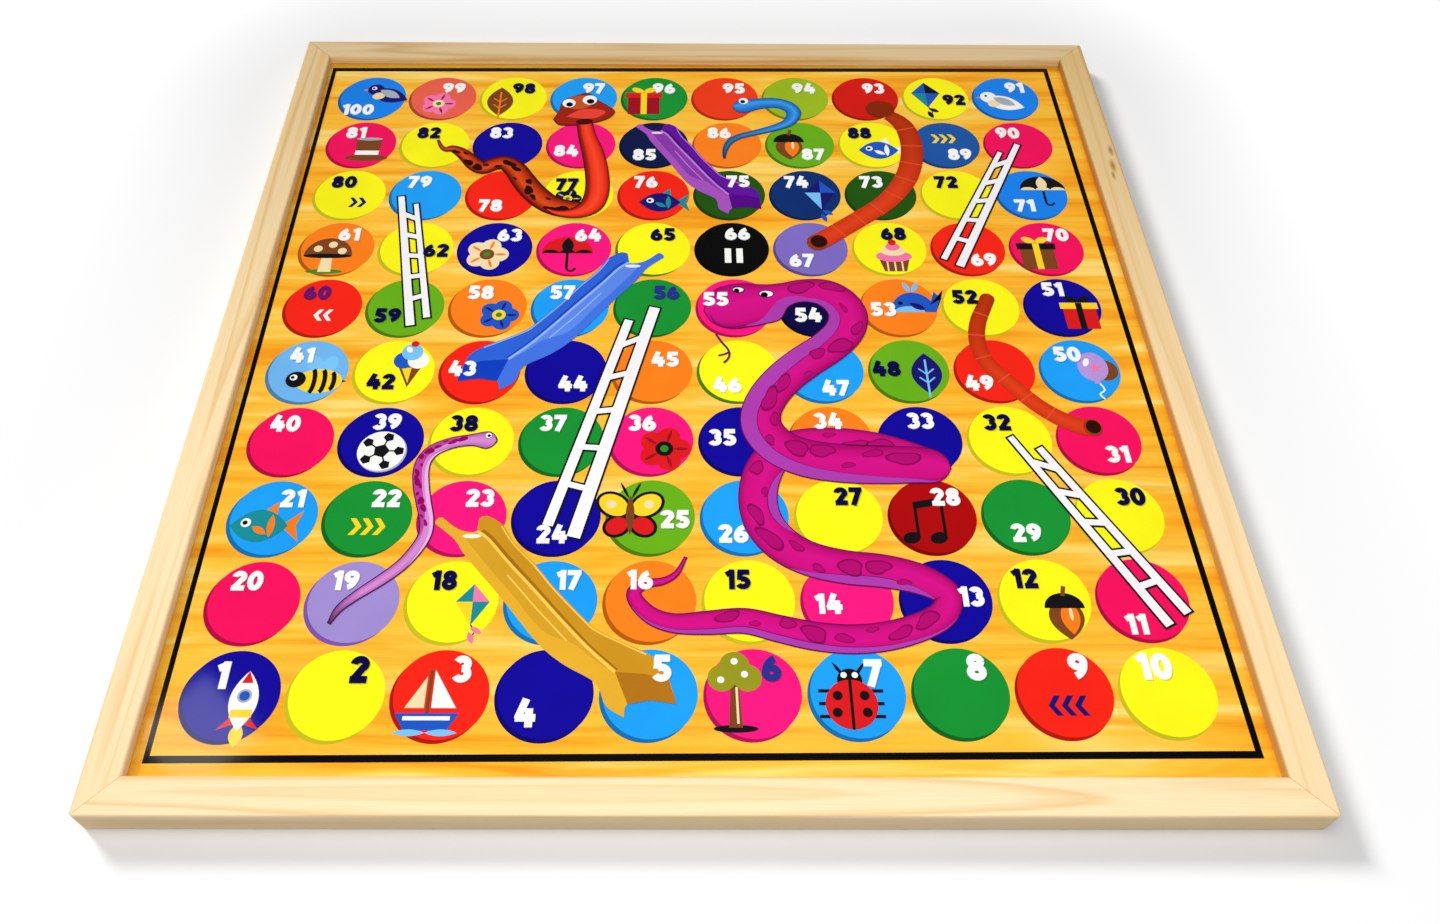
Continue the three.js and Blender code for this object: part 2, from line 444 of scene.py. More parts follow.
class Nodes:
    """The node tree of a material or world, with short ways to add and join nodes."""

    def __init__(self, owner, shader="Principled BSDF", place="Object"):
        owner.use_nodes = True
        self.owner = owner
        self.tree = owner.node_tree
        self.shader = self.tree.nodes[shader]
        self.place = self.add("ShaderNodeTexCoord").outputs[place]

    def add(self, kind, **settings):
        node = self.tree.nodes.new(kind)
        for key, value in settings.items():
            setattr(node, key, value)
        return node

    def join(self, source, target):
        self.tree.links.new(source, target)

    def put(self, value, socket):
        """Joins a socket to a socket, or writes a constant on it."""
        if isinstance(value, bpy.types.NodeSocket):
            self.join(value, socket)
        else:
            socket.default_value = value

    def fill(self, node, values):
        for key, value in values.items():
            self.put(value, node.inputs[key.replace("_", " ")])

    def made(self, kind, outlet, **values):
        """One output of a new node with these values on its inputs."""
        node = self.add(kind)
        self.fill(node, values)
        return node.outputs[outlet]

    def set(self, **values):
        self.fill(self.shader, values)

    def stretched(self, scale, location=(0.0, 0.0, 0.0)):
        return self.made("ShaderNodeMapping", "Vector", Vector=self.place, Scale=scale,
                         Location=location)

    def noise(self, vector, scale=1.0, detail=3.0, roughness=0.5, distortion=0.0):
        return self.made("ShaderNodeTexNoise", "Fac", Vector=vector, Scale=scale, Detail=detail,
                         Roughness=roughness, Distortion=distortion)

    def ramp(self, factor, stops):
        node = self.add("ShaderNodeValToRGB")
        self.join(factor, node.inputs["Fac"])
        bar = node.color_ramp.elements
        while len(bar) < len(stops):
            bar.new(0.5)
        for element, (place, colour) in zip(bar, stops):
            element.position = place
            element.color = colour
        return node.outputs["Color"]

    def mixed(self, factor, first, second, blend="MIX"):
        node = self.add("ShaderNodeMix", data_type="RGBA", blend_type=blend)
        for value, key in ((factor, MIX_FACTOR), (first, MIX_FIRST), (second, MIX_SECOND)):
            self.put(value, node.inputs[key])
        return node.outputs[MIX_RESULT]

    def mixed_shaders(self, factor, first, second):
        node = self.add("ShaderNodeMixShader")
        for value, socket in zip((factor, first, second), node.inputs):
            self.join(value, socket)
        return node.outputs[0]

    def sums(self, operation, first, second=0.0):
        node = self.add("ShaderNodeMath", operation=operation)
        self.put(first, node.inputs[0])
        self.put(second, node.inputs[1])
        return node.outputs[0]

    def spread(self, value, low, high, first=0.0, last=1.0):
        """Turns first to last into low to high."""
        return self.made("ShaderNodeMapRange", "Result", Value=value, From_Min=first, From_Max=last,
                         To_Min=low, To_Max=high)

    def parts(self, vector):
        node = self.add("ShaderNodeSeparateXYZ")
        self.join(vector, node.inputs["Vector"])
        return node.outputs

    def bump(self, height, strength, distance, **under):
        return self.made("ShaderNodeBump", "Normal", Height=height, Strength=strength,
                         Distance=distance, **under)


def material_nodes(name):
    return Nodes(bpy.data.materials.new(name))


def laminated(nodes, colour):
    """Finishes an ink under the clear film: faint mottling, smudges and the film's soft waves."""
    grain = nodes.noise(nodes.place, 1800.0, detail=2.0)
    smudge = nodes.noise(nodes.place, 22.0, detail=4.0, roughness=0.6)
    waves = nodes.noise(nodes.place, 160.0, detail=2.0)
    ripple = nodes.bump(waves, strength=0.05, distance=0.1 * MM)
    nodes.set(
        Base_Color=nodes.mixed(nodes.spread(grain, 0.0, INK_MOTTLE), colour, NO_LIGHT),
        Roughness=nodes.spread(smudge, *FILM_ROUGHNESS),
        Specular_IOR_Level=0.03,
        Coat_Weight=FILM_COAT,
        Coat_Roughness=FILM_COAT_ROUGHNESS,
        Normal=ripple,
        Coat_Normal=ripple,
    )
    return nodes.owner


def ink_material(name, colour, shade=1.0):
    nodes = material_nodes(name)
    deep, light = linear(colour, INK_DEEP * shade), linear(colour, INK_LIGHT * shade)
    return laminated(nodes, nodes.ramp(nodes.noise(nodes.place, 35.0), [(0.3, deep), (0.7, light)]))


def sheet_material():
    """Golden printed wood, its wavy streaks running from left to right, with painted shade along
    its edges by the rails.
    """
    nodes = material_nodes("printed_wood")
    wide, fine = nodes.stretched((6.0, 60.0, 1.0)), nodes.stretched((9.0, 210.0, 1.0))
    broad = nodes.noise(wide, roughness=0.55, distortion=0.9)
    streak = nodes.noise(fine, detail=4.0, roughness=0.6, distortion=0.8)
    base = nodes.ramp(broad, linear_stops(SHEET_BANDS))
    lines = nodes.ramp(streak, [(0.34, SHEET_STREAK), (0.50, FULL)])
    grained = nodes.mixed(STREAK_STRENGTH, base, lines, "MULTIPLY")
    x, y, _ = nodes.parts(nodes.place)
    # Painted shade: the print darkens towards the rails at its left, right and rear edges
    sides = nodes.sums("MAXIMUM", nodes.sums("ABSOLUTE", x), y)
    edge = nodes.spread(sides, 0.0, PAINTED_SHADE_STRENGTH, OPENING_HALF - EDGE_PAINTED_SHADE, OPENING_HALF)
    return laminated(nodes, nodes.mixed(edge, grained, SHEET_PAINTED_SHADE, "MULTIPLY"))


def pine_material(seed, name, left_to_right, tone, wall, far_painted_shade, knots):
    """Pale pine, its grain along the rail: late-wood lines, streaks, fine fibres and knots, then
    painted light and shade on the wall around the print and painted shade towards the far end.
    """
    nodes = material_nodes(name)

    def along_grain(along, across):
        return (along, across, across) if left_to_right else (across, along, across)

    def grain(along, across):
        return nodes.stretched(along_grain(along, across), [seed * shift for shift in PINE_SHIFT])

    cream = linear(tone)
    deeper = {
        "late": linear([c - less for c, less in zip(tone, PINE_LATE)]),
        "soft": linear([c - less for c, less in zip(tone, PINE_SOFT)]),
    }
    growth = nodes.noise(grain(1.3, 42.0), detail=1.5, roughness=0.45, distortion=0.25)
    stops = []
    for start, peak, end, kind in PINE_LINES:
        stops += [(start, cream), (peak, deeper[kind]), (end, cream)]
    base = nodes.ramp(growth, stops)
    streak = nodes.noise(grain(2.2, 120.0), roughness=0.55, distortion=0.3)
    tint = nodes.ramp(streak, [(0.34, PINE_TINT), (0.60, FULL)])
    fibre = nodes.noise(grain(30.0, 1500.0), roughness=0.6)
    fibres = nodes.ramp(fibre, [(0.30, PINE_FIBRE), (0.62, FULL)])
    fibrous = nodes.mixed(PINE_STRENGTH, base, fibres, "MULTIPLY")
    colour = nodes.mixed(PINE_STRENGTH, fibrous, tint, "MULTIPLY")
    for x, y, radius in knots:
        squeeze = along_grain(KNOT_SQUEEZE, 1.0)
        away = nodes.add("ShaderNodeVectorMath", operation="DISTANCE")
        nodes.join(nodes.stretched(squeeze), away.inputs[0])
        away.inputs[1].default_value = (x * MM * squeeze[0], y * MM * squeeze[1], cad_box[1].z)
        share = nodes.spread(away.outputs["Value"], 0.0, 1.0, 0.0, radius * MM)
        ring = nodes.ramp(share, [(0.0, KNOT_HEART), (0.35, KNOT_EDGE), (1.0, FULL)])
        colour = nodes.mixed(KNOT_STRENGTH, colour, ring, "MULTIPLY")
    # Painted shade on the rails' inner walls around the print, and painted light bounced from the
    # print on the rear rail's wall
    x, y, _ = nodes.parts(nodes.place)
    reach = nodes.sums("MAXIMUM", nodes.sums("ABSOLUTE", x), nodes.sums("ABSOLUTE", y))
    inside = nodes.spread(reach, 1.0, 0.0, *(OPENING_HALF + beyond for beyond in WALL_PAINTED_LIGHT_AND_SHADE))
    colour = nodes.mixed(inside, colour, wall, "MULTIPLY")
    # Painted shade: the rail grows darker towards the far end, as if the light fell off
    colour = nodes.mixed(nodes.spread(y, 0.0, 1.0, PAINTED_FALLOFF_START, PAINTED_FALLOFF_END), colour, far_painted_shade, "MULTIPLY")
    nodes.set(
        Base_Color=colour,
        Roughness=nodes.spread(fibre, 0.48, 0.66),
        Specular_IOR_Level=0.3,
        Normal=nodes.bump(fibre, 0.25, 0.12 * MM, Normal=nodes.bump(growth, 0.2, 0.15 * MM)),
    )
    return nodes.owner


def hardboard_material():
    """Brown pressed fibre with a faint screen texture."""
    nodes = material_nodes("hardboard")
    fleck = nodes.noise(nodes.place, 900.0, detail=4.0, roughness=0.7)
    cloud = nodes.noise(nodes.place, 12.0)
    tones = ((0.30, (96, 62, 34)), (0.55, (132, 90, 52)), (0.75, (164, 120, 76)))
    base = nodes.ramp(fleck, linear_stops(tones))
    colour = nodes.mixed(nodes.spread(cloud, 0.0, 0.25), base, linear((84, 52, 28)))
    nodes.set(
        Base_Color=colour,
        Roughness=nodes.spread(fleck, 0.75, 0.92),
        Specular_IOR_Level=0.2,
        Normal=nodes.bump(fleck, 0.4, 0.15 * MM),
    )
    return nodes.owner


def steel_material():
    nodes = material_nodes("nail_steel")
    drawn = nodes.noise(nodes.place, 3000.0)
    tones = ((0.3, (150, 150, 152)), (0.7, (196, 196, 198)))
    nodes.set(
        Base_Color=nodes.ramp(drawn, linear_stops(tones)),
        Metallic=1.0,
        Roughness=nodes.spread(drawn, 0.28, 0.48),
        Normal=nodes.bump(drawn, 0.2, 0.02 * MM),
    )
    return nodes.owner


# The printed face

def space_centre(number):
    row, step = divmod(number - 1, SPACES_PER_ROW)
    column = step if row % 2 == 0 else SPACES_PER_ROW - 1 - step
    middle = (SPACES_PER_ROW - 1) / 2.0
    place = ((column - middle) * PITCH, (row - middle) * PITCH)
    return placed([place], *GRID_CENTRE, PRINT_TURN)[0]


def disc(number, offset):
    x, y = space_centre(number)
    return circle(x + offset[0], y + offset[1], DISC_RADIUS, DISC_POINTS)


def make_discs():
    rims = {}
    for name, (colour, _) in SPACES.items():
        tone = (RIM_COLOURS[name],) if name in RIM_COLOURS else (colour, RIM_SHADE)
        rims[name] = Ink(f"space_rims_{name}", ink_material(f"ink_rim_{name}", *tone))
    for name, (colour, numbers) in SPACES.items():
        faces = Ink(f"spaces_{name}", ink_material(f"ink_{name}", colour))
        for number in numbers:
            rim = rims["lime" if number in LIME_RIMS else name]
            rim.outline(disc(number, RIM_DROP), LEVEL_RIM)
            faces.outline(disc(number, DISC_LIFT), LEVEL_DISC)
        faces.build()
    for rim in rims.values():
        rim.build()


def make_border():
    across, up = BORDER_LENGTH / 2.0, BORDER_DEPTH / 2.0
    inside = [
        (BORDER_LEFT - across, BORDER_FRONT - up), (across - BORDER_RIGHT, BORDER_FRONT - up),
        (across - BORDER_RIGHT, up - BORDER_REAR), (BORDER_LEFT - across, up - BORDER_REAR),
    ]
    outer = rectangle(*BORDER_CENTRE, across, up, PRINT_TURN)
    inner = placed(inside, *BORDER_CENTRE, PRINT_TURN)
    sides = [[i, (i + 1) % 4, 4 + (i + 1) % 4, 4 + i] for i in range(4)]
    border = Ink("border_line", ink_material("ink_border", INK_BLACK))
    border.film((outer + inner, sides), LEVEL_BORDER)
    border.build()


def digit_strokes():
    """The centre lines of the digits, in a box one unit high."""
    bowl = arc(0.34, 0.32, 0.21, 0.19, 0, 360, 32)
    hook = arc(0.62, 0.34, 0.48, 0.53, 108, 178, 14)
    six = [bowl, hook]
    nine = [[(0.68 - x, 1.0 - y) for x, y in path] for path in six]
    return {
        "0": [arc(0.34, 0.5, 0.22, 0.37, 0, 360, 40)],
        "1": [[(0.30, 0.0), (0.30, 1.0)], [(0.34, 0.90), (0.04, 0.74)]],
        "2": [arc(0.31, 0.69, 0.20, 0.18, 175, -45, 20), [(0.46, 0.60), (0.13, 0.10)],
              [(0.03, 0.13), (0.62, 0.13)]],
        "3": [arc(0.28, 0.69, 0.19, 0.175, 155, -90, 20),
              arc(0.28, 0.325, 0.21, 0.195, 90, -155, 20)],
        "4": [[(0.34, 1.0), (0.09, 0.30)], [(0.0, 0.33), (0.68, 0.33)],
              [(0.46, 0.66), (0.46, 0.0)]],
        "5": [[(0.08, 0.87), (0.60, 0.87)], [(0.19, 0.94), (0.16, 0.48)],
              arc(0.30, 0.33, 0.22, 0.20, 125, -155, 20)],
        "6": six,
        "7": [[(0.02, 0.87), (0.64, 0.87)], [(0.53, 0.92), (0.20, 0.0)]],
        "8": [arc(0.34, 0.71, 0.175, 0.155, 0, 360, 32), arc(0.34, 0.315, 0.21, 0.185, 0, 360, 32)],
        "9": nine,
    }


def digit_shapes():
    shapes = {}
    for digit, paths in digit_strokes().items():
        quads = [quad for path in paths for quad in stroke(path, NUMERAL_STROKE)]
        points, faces = union(quads)
        used = [points[i] for face in faces for i in face]
        low = min(x for x, _ in used)
        width = max(x for x, _ in used) - low
        shapes[digit] = ([(x - low, y) for x, y in points], faces, width)
    return shapes


def make_numerals():
    shapes = digit_shapes()
    inks, names = {}, {}
    for name, (colour, numbers) in NUMERALS.items():
        inks[name] = Ink(f"numerals_{name}", ink_material(f"ink_numeral_{name}", colour))
        names.update(dict.fromkeys(numbers, name))
    for (right, up), numbers in NUMERAL_PLACES.items():
        for number in numbers:
            height = FIRST_ROW_NUMERAL_HEIGHT if number <= SPACES_PER_ROW else NUMERAL_HEIGHT
            x, y = space_centre(number)
            digits = [shapes[d] for d in str(number)]
            width = sum(d[2] for d in digits) + NUMERAL_GAP * (len(digits) - 1)
            pen = -width / 2.0
            for points, faces, advance in digits:
                boxed = [(pen + px, py - 0.5) for px, py in points]
                spots = placed(boxed, x + right, y + up, size=height)
                inks[names.get(number, "white")].film((spots, faces), LEVEL_NUMERAL)
                pen += advance + NUMERAL_GAP
    for ink in inks.values():
        ink.build()


# Small generic pictures, each a list of (colour, outline) painted in order in a box from -1 to 1

def pair(colour, shape, x, *rest, turn=0.0):
    """A shape at the left and its mirror image at the right."""
    return [(colour, shape(side * x, *rest, side * turn)) for side in (-1, 1)]


def around(colour, shape, count, away, *rest, turn=0.0):
    """Shapes in a ring, each turned outwards."""
    first = shape(away, 0, *rest, turn)
    return [(colour, placed(first, 0, 0, math.degrees(a))) for a in turns(count)]


def dots(colour, radius, places):
    return [(colour, circle(x, y, radius)) for x, y in places]


def pentagon(x, y, radius, turn):
    return placed(circle(0, 0, radius, 5), x, y, turn)


def rocket():
    fins = [(-0.62, -0.78), (-0.15, -0.25), (0.15, -0.25), (0.62, -0.78), (0, -0.55)]
    return [("gold", lens(0, -0.92, 0.2, 0.36)), ("red", fins),
            ("white", lens(0, 0.12, 0.42, 0.92)), ("gold", rectangle(0, -0.28, 0.32, 0.12)),
            ("red", [(-0.17, 0.66), (0.17, 0.66), (0, 1.04)]), ("grey", circle(0, 0.26, 0.21)),
            ("blue", circle(0, 0.26, 0.15))]


def boat():
    hull = [(-0.9, -0.35), (-0.6, -0.85), (0.6, -0.85), (0.9, -0.35)]
    return [("brown", rectangle(0, 0.25, 0.05, 0.7)),
            ("white", [(0.1, -0.2), (0.8, -0.2), (0.1, 0.95)]),
            ("cream", [(-0.1, -0.2), (-0.1, 0.75), (-0.65, -0.2)]), ("blue", hull),
            ("white", rectangle(0, -0.5, 0.66, 0.06)),
            *pair("sky", lens, 0.45, -0.92, 0.1, 0.45, turn=90)]


def tree():
    return [("black", ellipse(0, -0.98, 0.55, 0.1)),
            ("brown", line([(0, -0.95), (0, 0.3)], 0.34, 0.2)),
            ("cream", line([(0.06, -0.85), (0.04, 0.1)], 0.06)), ("olive", circle(0, 0.68, 0.38)),
            *pair("olive", ellipse, 0.32, 0.35, 0.36, 0.36),
            *dots("white", 0.09, ((-0.35, 0.3), (0.25, 0.45), (0, 0.8)))]


def ladybird():
    legs = [("black", rectangle(0, y, 0.92, 0.05)) for y in (-0.5, -0.12, 0.26)]
    return [*legs, *pair("black", lens, 0.3, 0.9, 0.05, 0.3, turn=-35),
            ("black", circle(0, 0.58, 0.36)), ("red", circle(0, -0.14, 0.74)),
            ("black", rectangle(0, -0.14, 0.045, 0.74)),
            *pair("black", ellipse, 0.38, 0.12, 0.14, 0.14),
            *pair("black", ellipse, 0.42, -0.38, 0.14, 0.14),
            *pair("white", ellipse, 0.16, 0.74, 0.09, 0.09)]


def acorn():
    return [("brown", lens(0, -0.25, 0.56, 0.8)), ("orange", lens(0.12, -0.25, 0.3, 0.62)),
            ("cream", ellipse(0.16, -0.15, 0.06, 0.24)), ("black", dome(0, 0.05, 0.64, 0.54)),
            ("brown", rectangle(0.05, 0.66, 0.07, 0.18, -14))]


def kite(first, second, third):
    return [("black", line([(0, -0.5), (0.18, -0.75), (0.02, -1.05)], 0.05)),
            (first, [(0, -0.55), (0.56, 0.32), (0, 0.98), (-0.56, 0.32)]),
            (second, [(0, 0.32), (0.56, 0.32), (0, 0.98)]),
            (third, [(0, -0.55), (0, 0.32), (-0.56, 0.32)]),
            (second, lens(0.2, -0.72, 0.1, 0.22, 60)), (second, lens(0.05, -0.98, 0.1, 0.22, 20))]


def fish(body, fin):
    return [(fin, [(0.45, 0), (1, 0.5), (0.86, 0), (1, -0.5)]),
            (fin, [(-0.2, 0.35), (0.25, 0.78), (0.3, 0.25)]), (body, lens(-0.15, 0, 0.52, 0.8, 90)),
            (fin, lens(0.18, 0, 0.1, 0.36)), ("white", circle(-0.52, 0.1, 0.14)),
            ("black", circle(-0.54, 0.1, 0.07)), (fin, lens(-0.12, -0.14, 0.1, 0.24, 60))]


def butterfly():
    wings = [("black", "black", 0.09), ("gold", "red", 0.0)]
    shapes = []
    for upper, lower, edge in wings:
        shapes += pair(upper, ellipse, 0.46, 0.32, 0.44 + edge, 0.32 + edge, turn=35)
        shapes += pair(lower, ellipse, 0.36, -0.36, 0.32 + edge, 0.26 + edge, turn=-35)
    return [*shapes, *pair("cream", ellipse, 0.52, 0.34, 0.14, 0.14),
            *pair("black", lens, 0.16, 0.8, 0.04, 0.3, turn=-25), ("brown", lens(0, 0, 0.12, 0.64))]


def music():
    beam = [(-0.28, 0.52), (0.74, 0.72), (0.74, 1), (-0.28, 0.8)]
    return [("black", ellipse(-0.45, -0.6, 0.3, 0.22, 18)),
            ("black", ellipse(0.45, -0.6, 0.3, 0.22, 18)), ("black", beam),
            ("black", rectangle(-0.22, 0.1, 0.055, 0.68)),
            ("black", rectangle(0.68, 0.1, 0.055, 0.68))]


def flower(petal, fold, heart_colour):
    return [*around(petal, ellipse, 5, 0.42, 0.48, 0.42),
            *around(fold, lens, 5, 0.55, 0.06, 0.26, turn=-90), (heart_colour, circle(0, 0, 0.3)),
            ("leaf", circle(0, 0, 0.14))]


def football():
    return [("grey", circle(0.04, -0.05, 0.92)), ("white", circle(0, 0, 0.9)),
            ("black", circle(0, 0, 0.32, 5)), *around("black", rectangle, 5, 0.475, 0.225, 0.03),
            *around("black", pentagon, 5, 0.66, 0.21, turn=180)]


def bee():
    places = ((-0.12, 0.46), (0.2, 0.44), (0.5, 0.34))
    bands = [("black", line(arc(x, -0.12, 0.1, half, 90, -90, 8), 0.15)) for x, half in places]
    return [("sky", ellipse(-0.06, 0.52, 0.26, 0.42, 24)),
            ("sky", ellipse(0.34, 0.52, 0.26, 0.42, -18)),
            ("black", [(0.7, -0.02), (1, -0.12), (0.7, -0.22)]),
            ("gold", ellipse(0.12, -0.12, 0.74, 0.48)), *bands,
            ("black", circle(-0.62, -0.06, 0.32)), ("white", circle(-0.7, 0.02, 0.12)),
            ("black", circle(-0.73, 0.02, 0.06))]


def ice_cream():
    return [("brown", [(-0.42, -0.05), (0, -1), (0.42, -0.05)]),
            ("gold", [(-0.3, -0.12), (0, -0.82), (0.06, -0.12)]),
            ("blue", circle(-0.24, 0.22, 0.38)), ("white", circle(0.26, 0.22, 0.38)),
            ("sky", circle(0, 0.6, 0.38)), ("white", ellipse(-0.12, 0.72, 0.1, 0.15, 30)),
            ("red", circle(0.05, 0.98, 0.14))]


def balloon():
    cord = smooth_path([(0, -0.35), (0.12, -0.65), (-0.08, -0.85), (0.05, -1.05)], 0.1)
    return [("white", line(cord, 0.06)), ("brown", circle(0.3, 0.2, 0.46)),
            ("lilac", ellipse(-0.08, 0.35, 0.52, 0.64)),
            ("lilac", [(-0.18, -0.38), (0.08, -0.38), (-0.05, -0.18)]),
            ("white", ellipse(-0.28, 0.55, 0.1, 0.19, -22)), ("pink", star(0, 0.3, 0.24, 0.11, 5))]


def whale():
    tail = [(0.5, -0.1), (0.72, 0.55), (0.95, 0.2), (1.05, 0.62), (0.7, -0.45)]
    return [("blue", dome(-0.1, -0.45, 0.8, 0.95)), ("blue", tail),
            ("sky", dome(-0.25, -0.45, 0.55, 0.28)), ("black", circle(-0.55, -0.02, 0.09)),
            ("sky", lens(-0.25, 0.75, 0.1, 0.27, 25)), ("sky", lens(0.05, 0.75, 0.1, 0.27, -25)),
            ("navy", lens(0.05, -0.18, 0.13, 0.32, 60))]


def bird(body, wing):
    return [("orange", [(-0.95, 0.28), (-0.6, 0.42), (-0.6, 0.18)]),
            (body, circle(-0.42, 0.32, 0.34)), (body, lens(0.15, -0.05, 0.44, 0.88, 70)),
            ("cream", ellipse(-0.25, -0.1, 0.26, 0.22, 20)), (wing, lens(0.2, 0.04, 0.22, 0.5, 60)),
            ("white", circle(-0.5, 0.4, 0.11)), ("black", circle(-0.52, 0.4, 0.06))]


def mushroom():
    return [("leaf", ellipse(0, -0.9, 0.7, 0.12)),
            ("cream", line([(0, -0.92), (0, 0.1)], 0.5, 0.36)),
            ("brown", dome(0, -0.08, 0.92, 0.95)), ("black", ellipse(0, -0.08, 0.92, 0.12)),
            *dots("cream", 0.17, ((-0.42, 0.3), (0.12, 0.52), (0.52, 0.18)))]


def umbrella(cloth, panel):
    handle = [(0, 0.3), (0, -0.65)] + arc(0.16, -0.65, 0.16, 0.2, 180, 350, 10)
    return [("black", line(handle, 0.1)), (cloth, dome(0, 0.06, 0.95, 0.84)),
            (panel, lens(0, 0.44, 0.22, 0.44)),
            *[(panel, dome(x, 0.06, 0.31, 0.18)) for x in (-0.62, 0, 0.62)]]


def cupcake():
    return [("brown", [(-0.45, -0.9), (0.45, -0.9), (0.62, -0.2), (-0.62, -0.2)]),
            *[("cream", rectangle(x, -0.55, 0.035, 0.34)) for x in (-0.3, 0, 0.3)],
            ("pink", ellipse(0, -0.05, 0.74, 0.32)), ("cream", ellipse(0, 0.25, 0.52, 0.27)),
            ("pink", ellipse(0, 0.5, 0.3, 0.22)), ("red", circle(0, 0.76, 0.17))]


def hat(felt, band):
    return [(felt, ellipse(0, -0.55, 0.95, 0.22)),
            (felt, [(-0.5, -0.5), (0.5, -0.5), (0.58, 0.7), (-0.58, 0.7)]),
            ("grey", ellipse(0, 0.7, 0.58, 0.1)), (band, rectangle(0, -0.22, 0.52, 0.14))]


def leaf(colour, vein):
    low, high = (pair(vein, rectangle, 0.14, y, 0.19, 0.03, turn=43) for y in (-0.27, 0.13))
    return [(colour, lens(0, 0.05, 0.56, 0.95)), (vein, rectangle(0, -0.18, 0.04, 0.88)), *low,
            *high]


def gift(paper, lid, ribbon):
    return [*pair(ribbon, ellipse, 0.26, 0.74, 0.28, 0.16, turn=28),
            (paper, rectangle(0, -0.3, 0.68, 0.56)), ("black", rectangle(0, 0.28, 0.7, 0.05)),
            (lid, rectangle(0, 0.4, 0.78, 0.17)), (ribbon, rectangle(0, -0.15, 0.13, 0.71))]


def chevrons(colour, count, way):
    """Arrow heads in a row: way is 1 for onward and -1 for back."""
    head = ((-0.34, 0.5), (-0.04, 0.5), (0.3, 0), (-0.04, -0.5), (-0.34, -0.5), (0, 0))
    step = 0.62
    starts = [(i - (count - 1) / 2.0) * step for i in range(count)]
    return [(colour, [(x + way * px, py) for px, py in head]) for x in starts]


# Space number: picture, its middle from the space's middle, and half its height
MOTIFS = {
    1: (rocket(), 6, -3.5, 14.5),
    3: (boat(), -4.5, -2.5, 15),
    6: (tree(), -7.5, 1.5, 17),
    7: (ladybird(), -2.5, -2.5, 15),
    9: (chevrons("navy", 3, -1), 0.5, -5.5, 9),
    12: (acorn(), 8.5, -4.5, 14),
    18: (kite("teal", "pink", "gold"), 9.5, -4, 13.5),
    21: (fish("teal", "orange"), -3, -4, 17),
    22: (chevrons("gold", 3, 1), 1, -4.5, 9),
    25: (butterfly(), -9.5, 1.5, 17),
    28: (music(), -4.5, -3, 14),
    36: (flower("red", "crimson", "black"), 6.5, -4.5, 14.5),
    39: (football(), 1, -5.5, 13),
    41: (bee(), 5, -4, 16),
    42: (ice_cream(), 8, 4.5, 14.5),
    48: (leaf("navy", "sky"), 9, -2, 14),
    50: (balloon(), 8.5, -2.5, 15),
    51: (gift("red", "gold", "black"), 9, -4, 13),
    53: (whale(), 9.5, 3.5, 15),
    58: (flower("blue", "navy", "gold"), 6.5, -5, 12),
    60: (chevrons("white", 2, -1), 1, -5, 8),
    61: (mushroom(), -4, -4, 14.5),
    63: (flower("cream", "orange", "brown"), -4, -4, 13.5),
    64: (umbrella("red", "black"), -3.5, -4, 15),
    66: (pair("white", rectangle, 0.36, 0, 0.2, 0.62), 1, -5, 9),
    68: (cupcake(), 2, -5, 13.5),
    70: (gift("brown", "black", "gold"), -5.5, -3.5, 14),
    71: (umbrella("black", "cream"), 7.5, 3.5, 14),
    74: (kite("navy", "blue", "sky"), 9, -3, 16),
    76: (fish("navy", "teal"), 6, -6, 15),
    77: (flower("black", "grey", "gold"), -5.5, -3, 9),
    80: (chevrons("navy", 2, 1), 6, -6, 8),
    81: (hat("brown", "white"), 4.5, -4, 13.5),
    87: (acorn(), -6.5, 2, 14.5),
    88: (fish("blue", "white"), 5.5, -4.5, 15),
    89: (chevrons("gold", 3, 1), 0, 6, 8),
    91: (bird("white", "grey"), -4, -3, 15),
    92: (kite("blue", "black", "teal"), -5.5, 0.5, 16),
    96: (gift("crimson", "red", "gold"), -6.5, -2.5, 14.5),
    98: (leaf("brown", "orange"), -8, -3.5, 14.5),
    99: (flower("pink", "crimson", "cream"), -2, -5, 12),
    100: (bird("navy", "grey"), 7.5, 4, 15),
}

MOTIF_COLOURS = {
    "white": (248, 248, 244),
    "black": (18, 16, 20),
    "red": (222, 26, 30),
    "gold": (255, 214, 36),
    "orange": (248, 126, 24),
    "leaf": (52, 140, 40),
    "olive": (150, 150, 30),
    "blue": (30, 86, 196),
    "sky": (120, 196, 246),
    "brown": (126, 68, 30),
    "cream": (246, 222, 172),
    "pink": (246, 120, 170),
    "lilac": (186, 150, 222),
    "teal": (24, 140, 150),
    "grey": (168, 176, 188),
    "navy": (24, 20, 110),
    "crimson": (160, 14, 34),
}


def make_motifs():
    inks = {}
    for name, colour in MOTIF_COLOURS.items():
        inks[name] = Ink(f"motifs_{name}", ink_material(f"ink_motif_{name}", colour))
    for number, (shapes, right, up, size) in MOTIFS.items():
        x, y = space_centre(number)
        for i, (colour, outline) in enumerate(shapes):
            inks[colour].outline(placed(outline, x + right, y + up, size=size), LEVEL_MOTIF + i)
    for ink in inks.values():
        ink.build()


# What runs between the spaces

def rounding(distance, reach):
    """The share of its width that a track has near an end that is rounded over a reach."""
    if distance >= reach:
        return 1.0
    return math.sqrt(1.0 - (1.0 - distance / reach) ** 2)


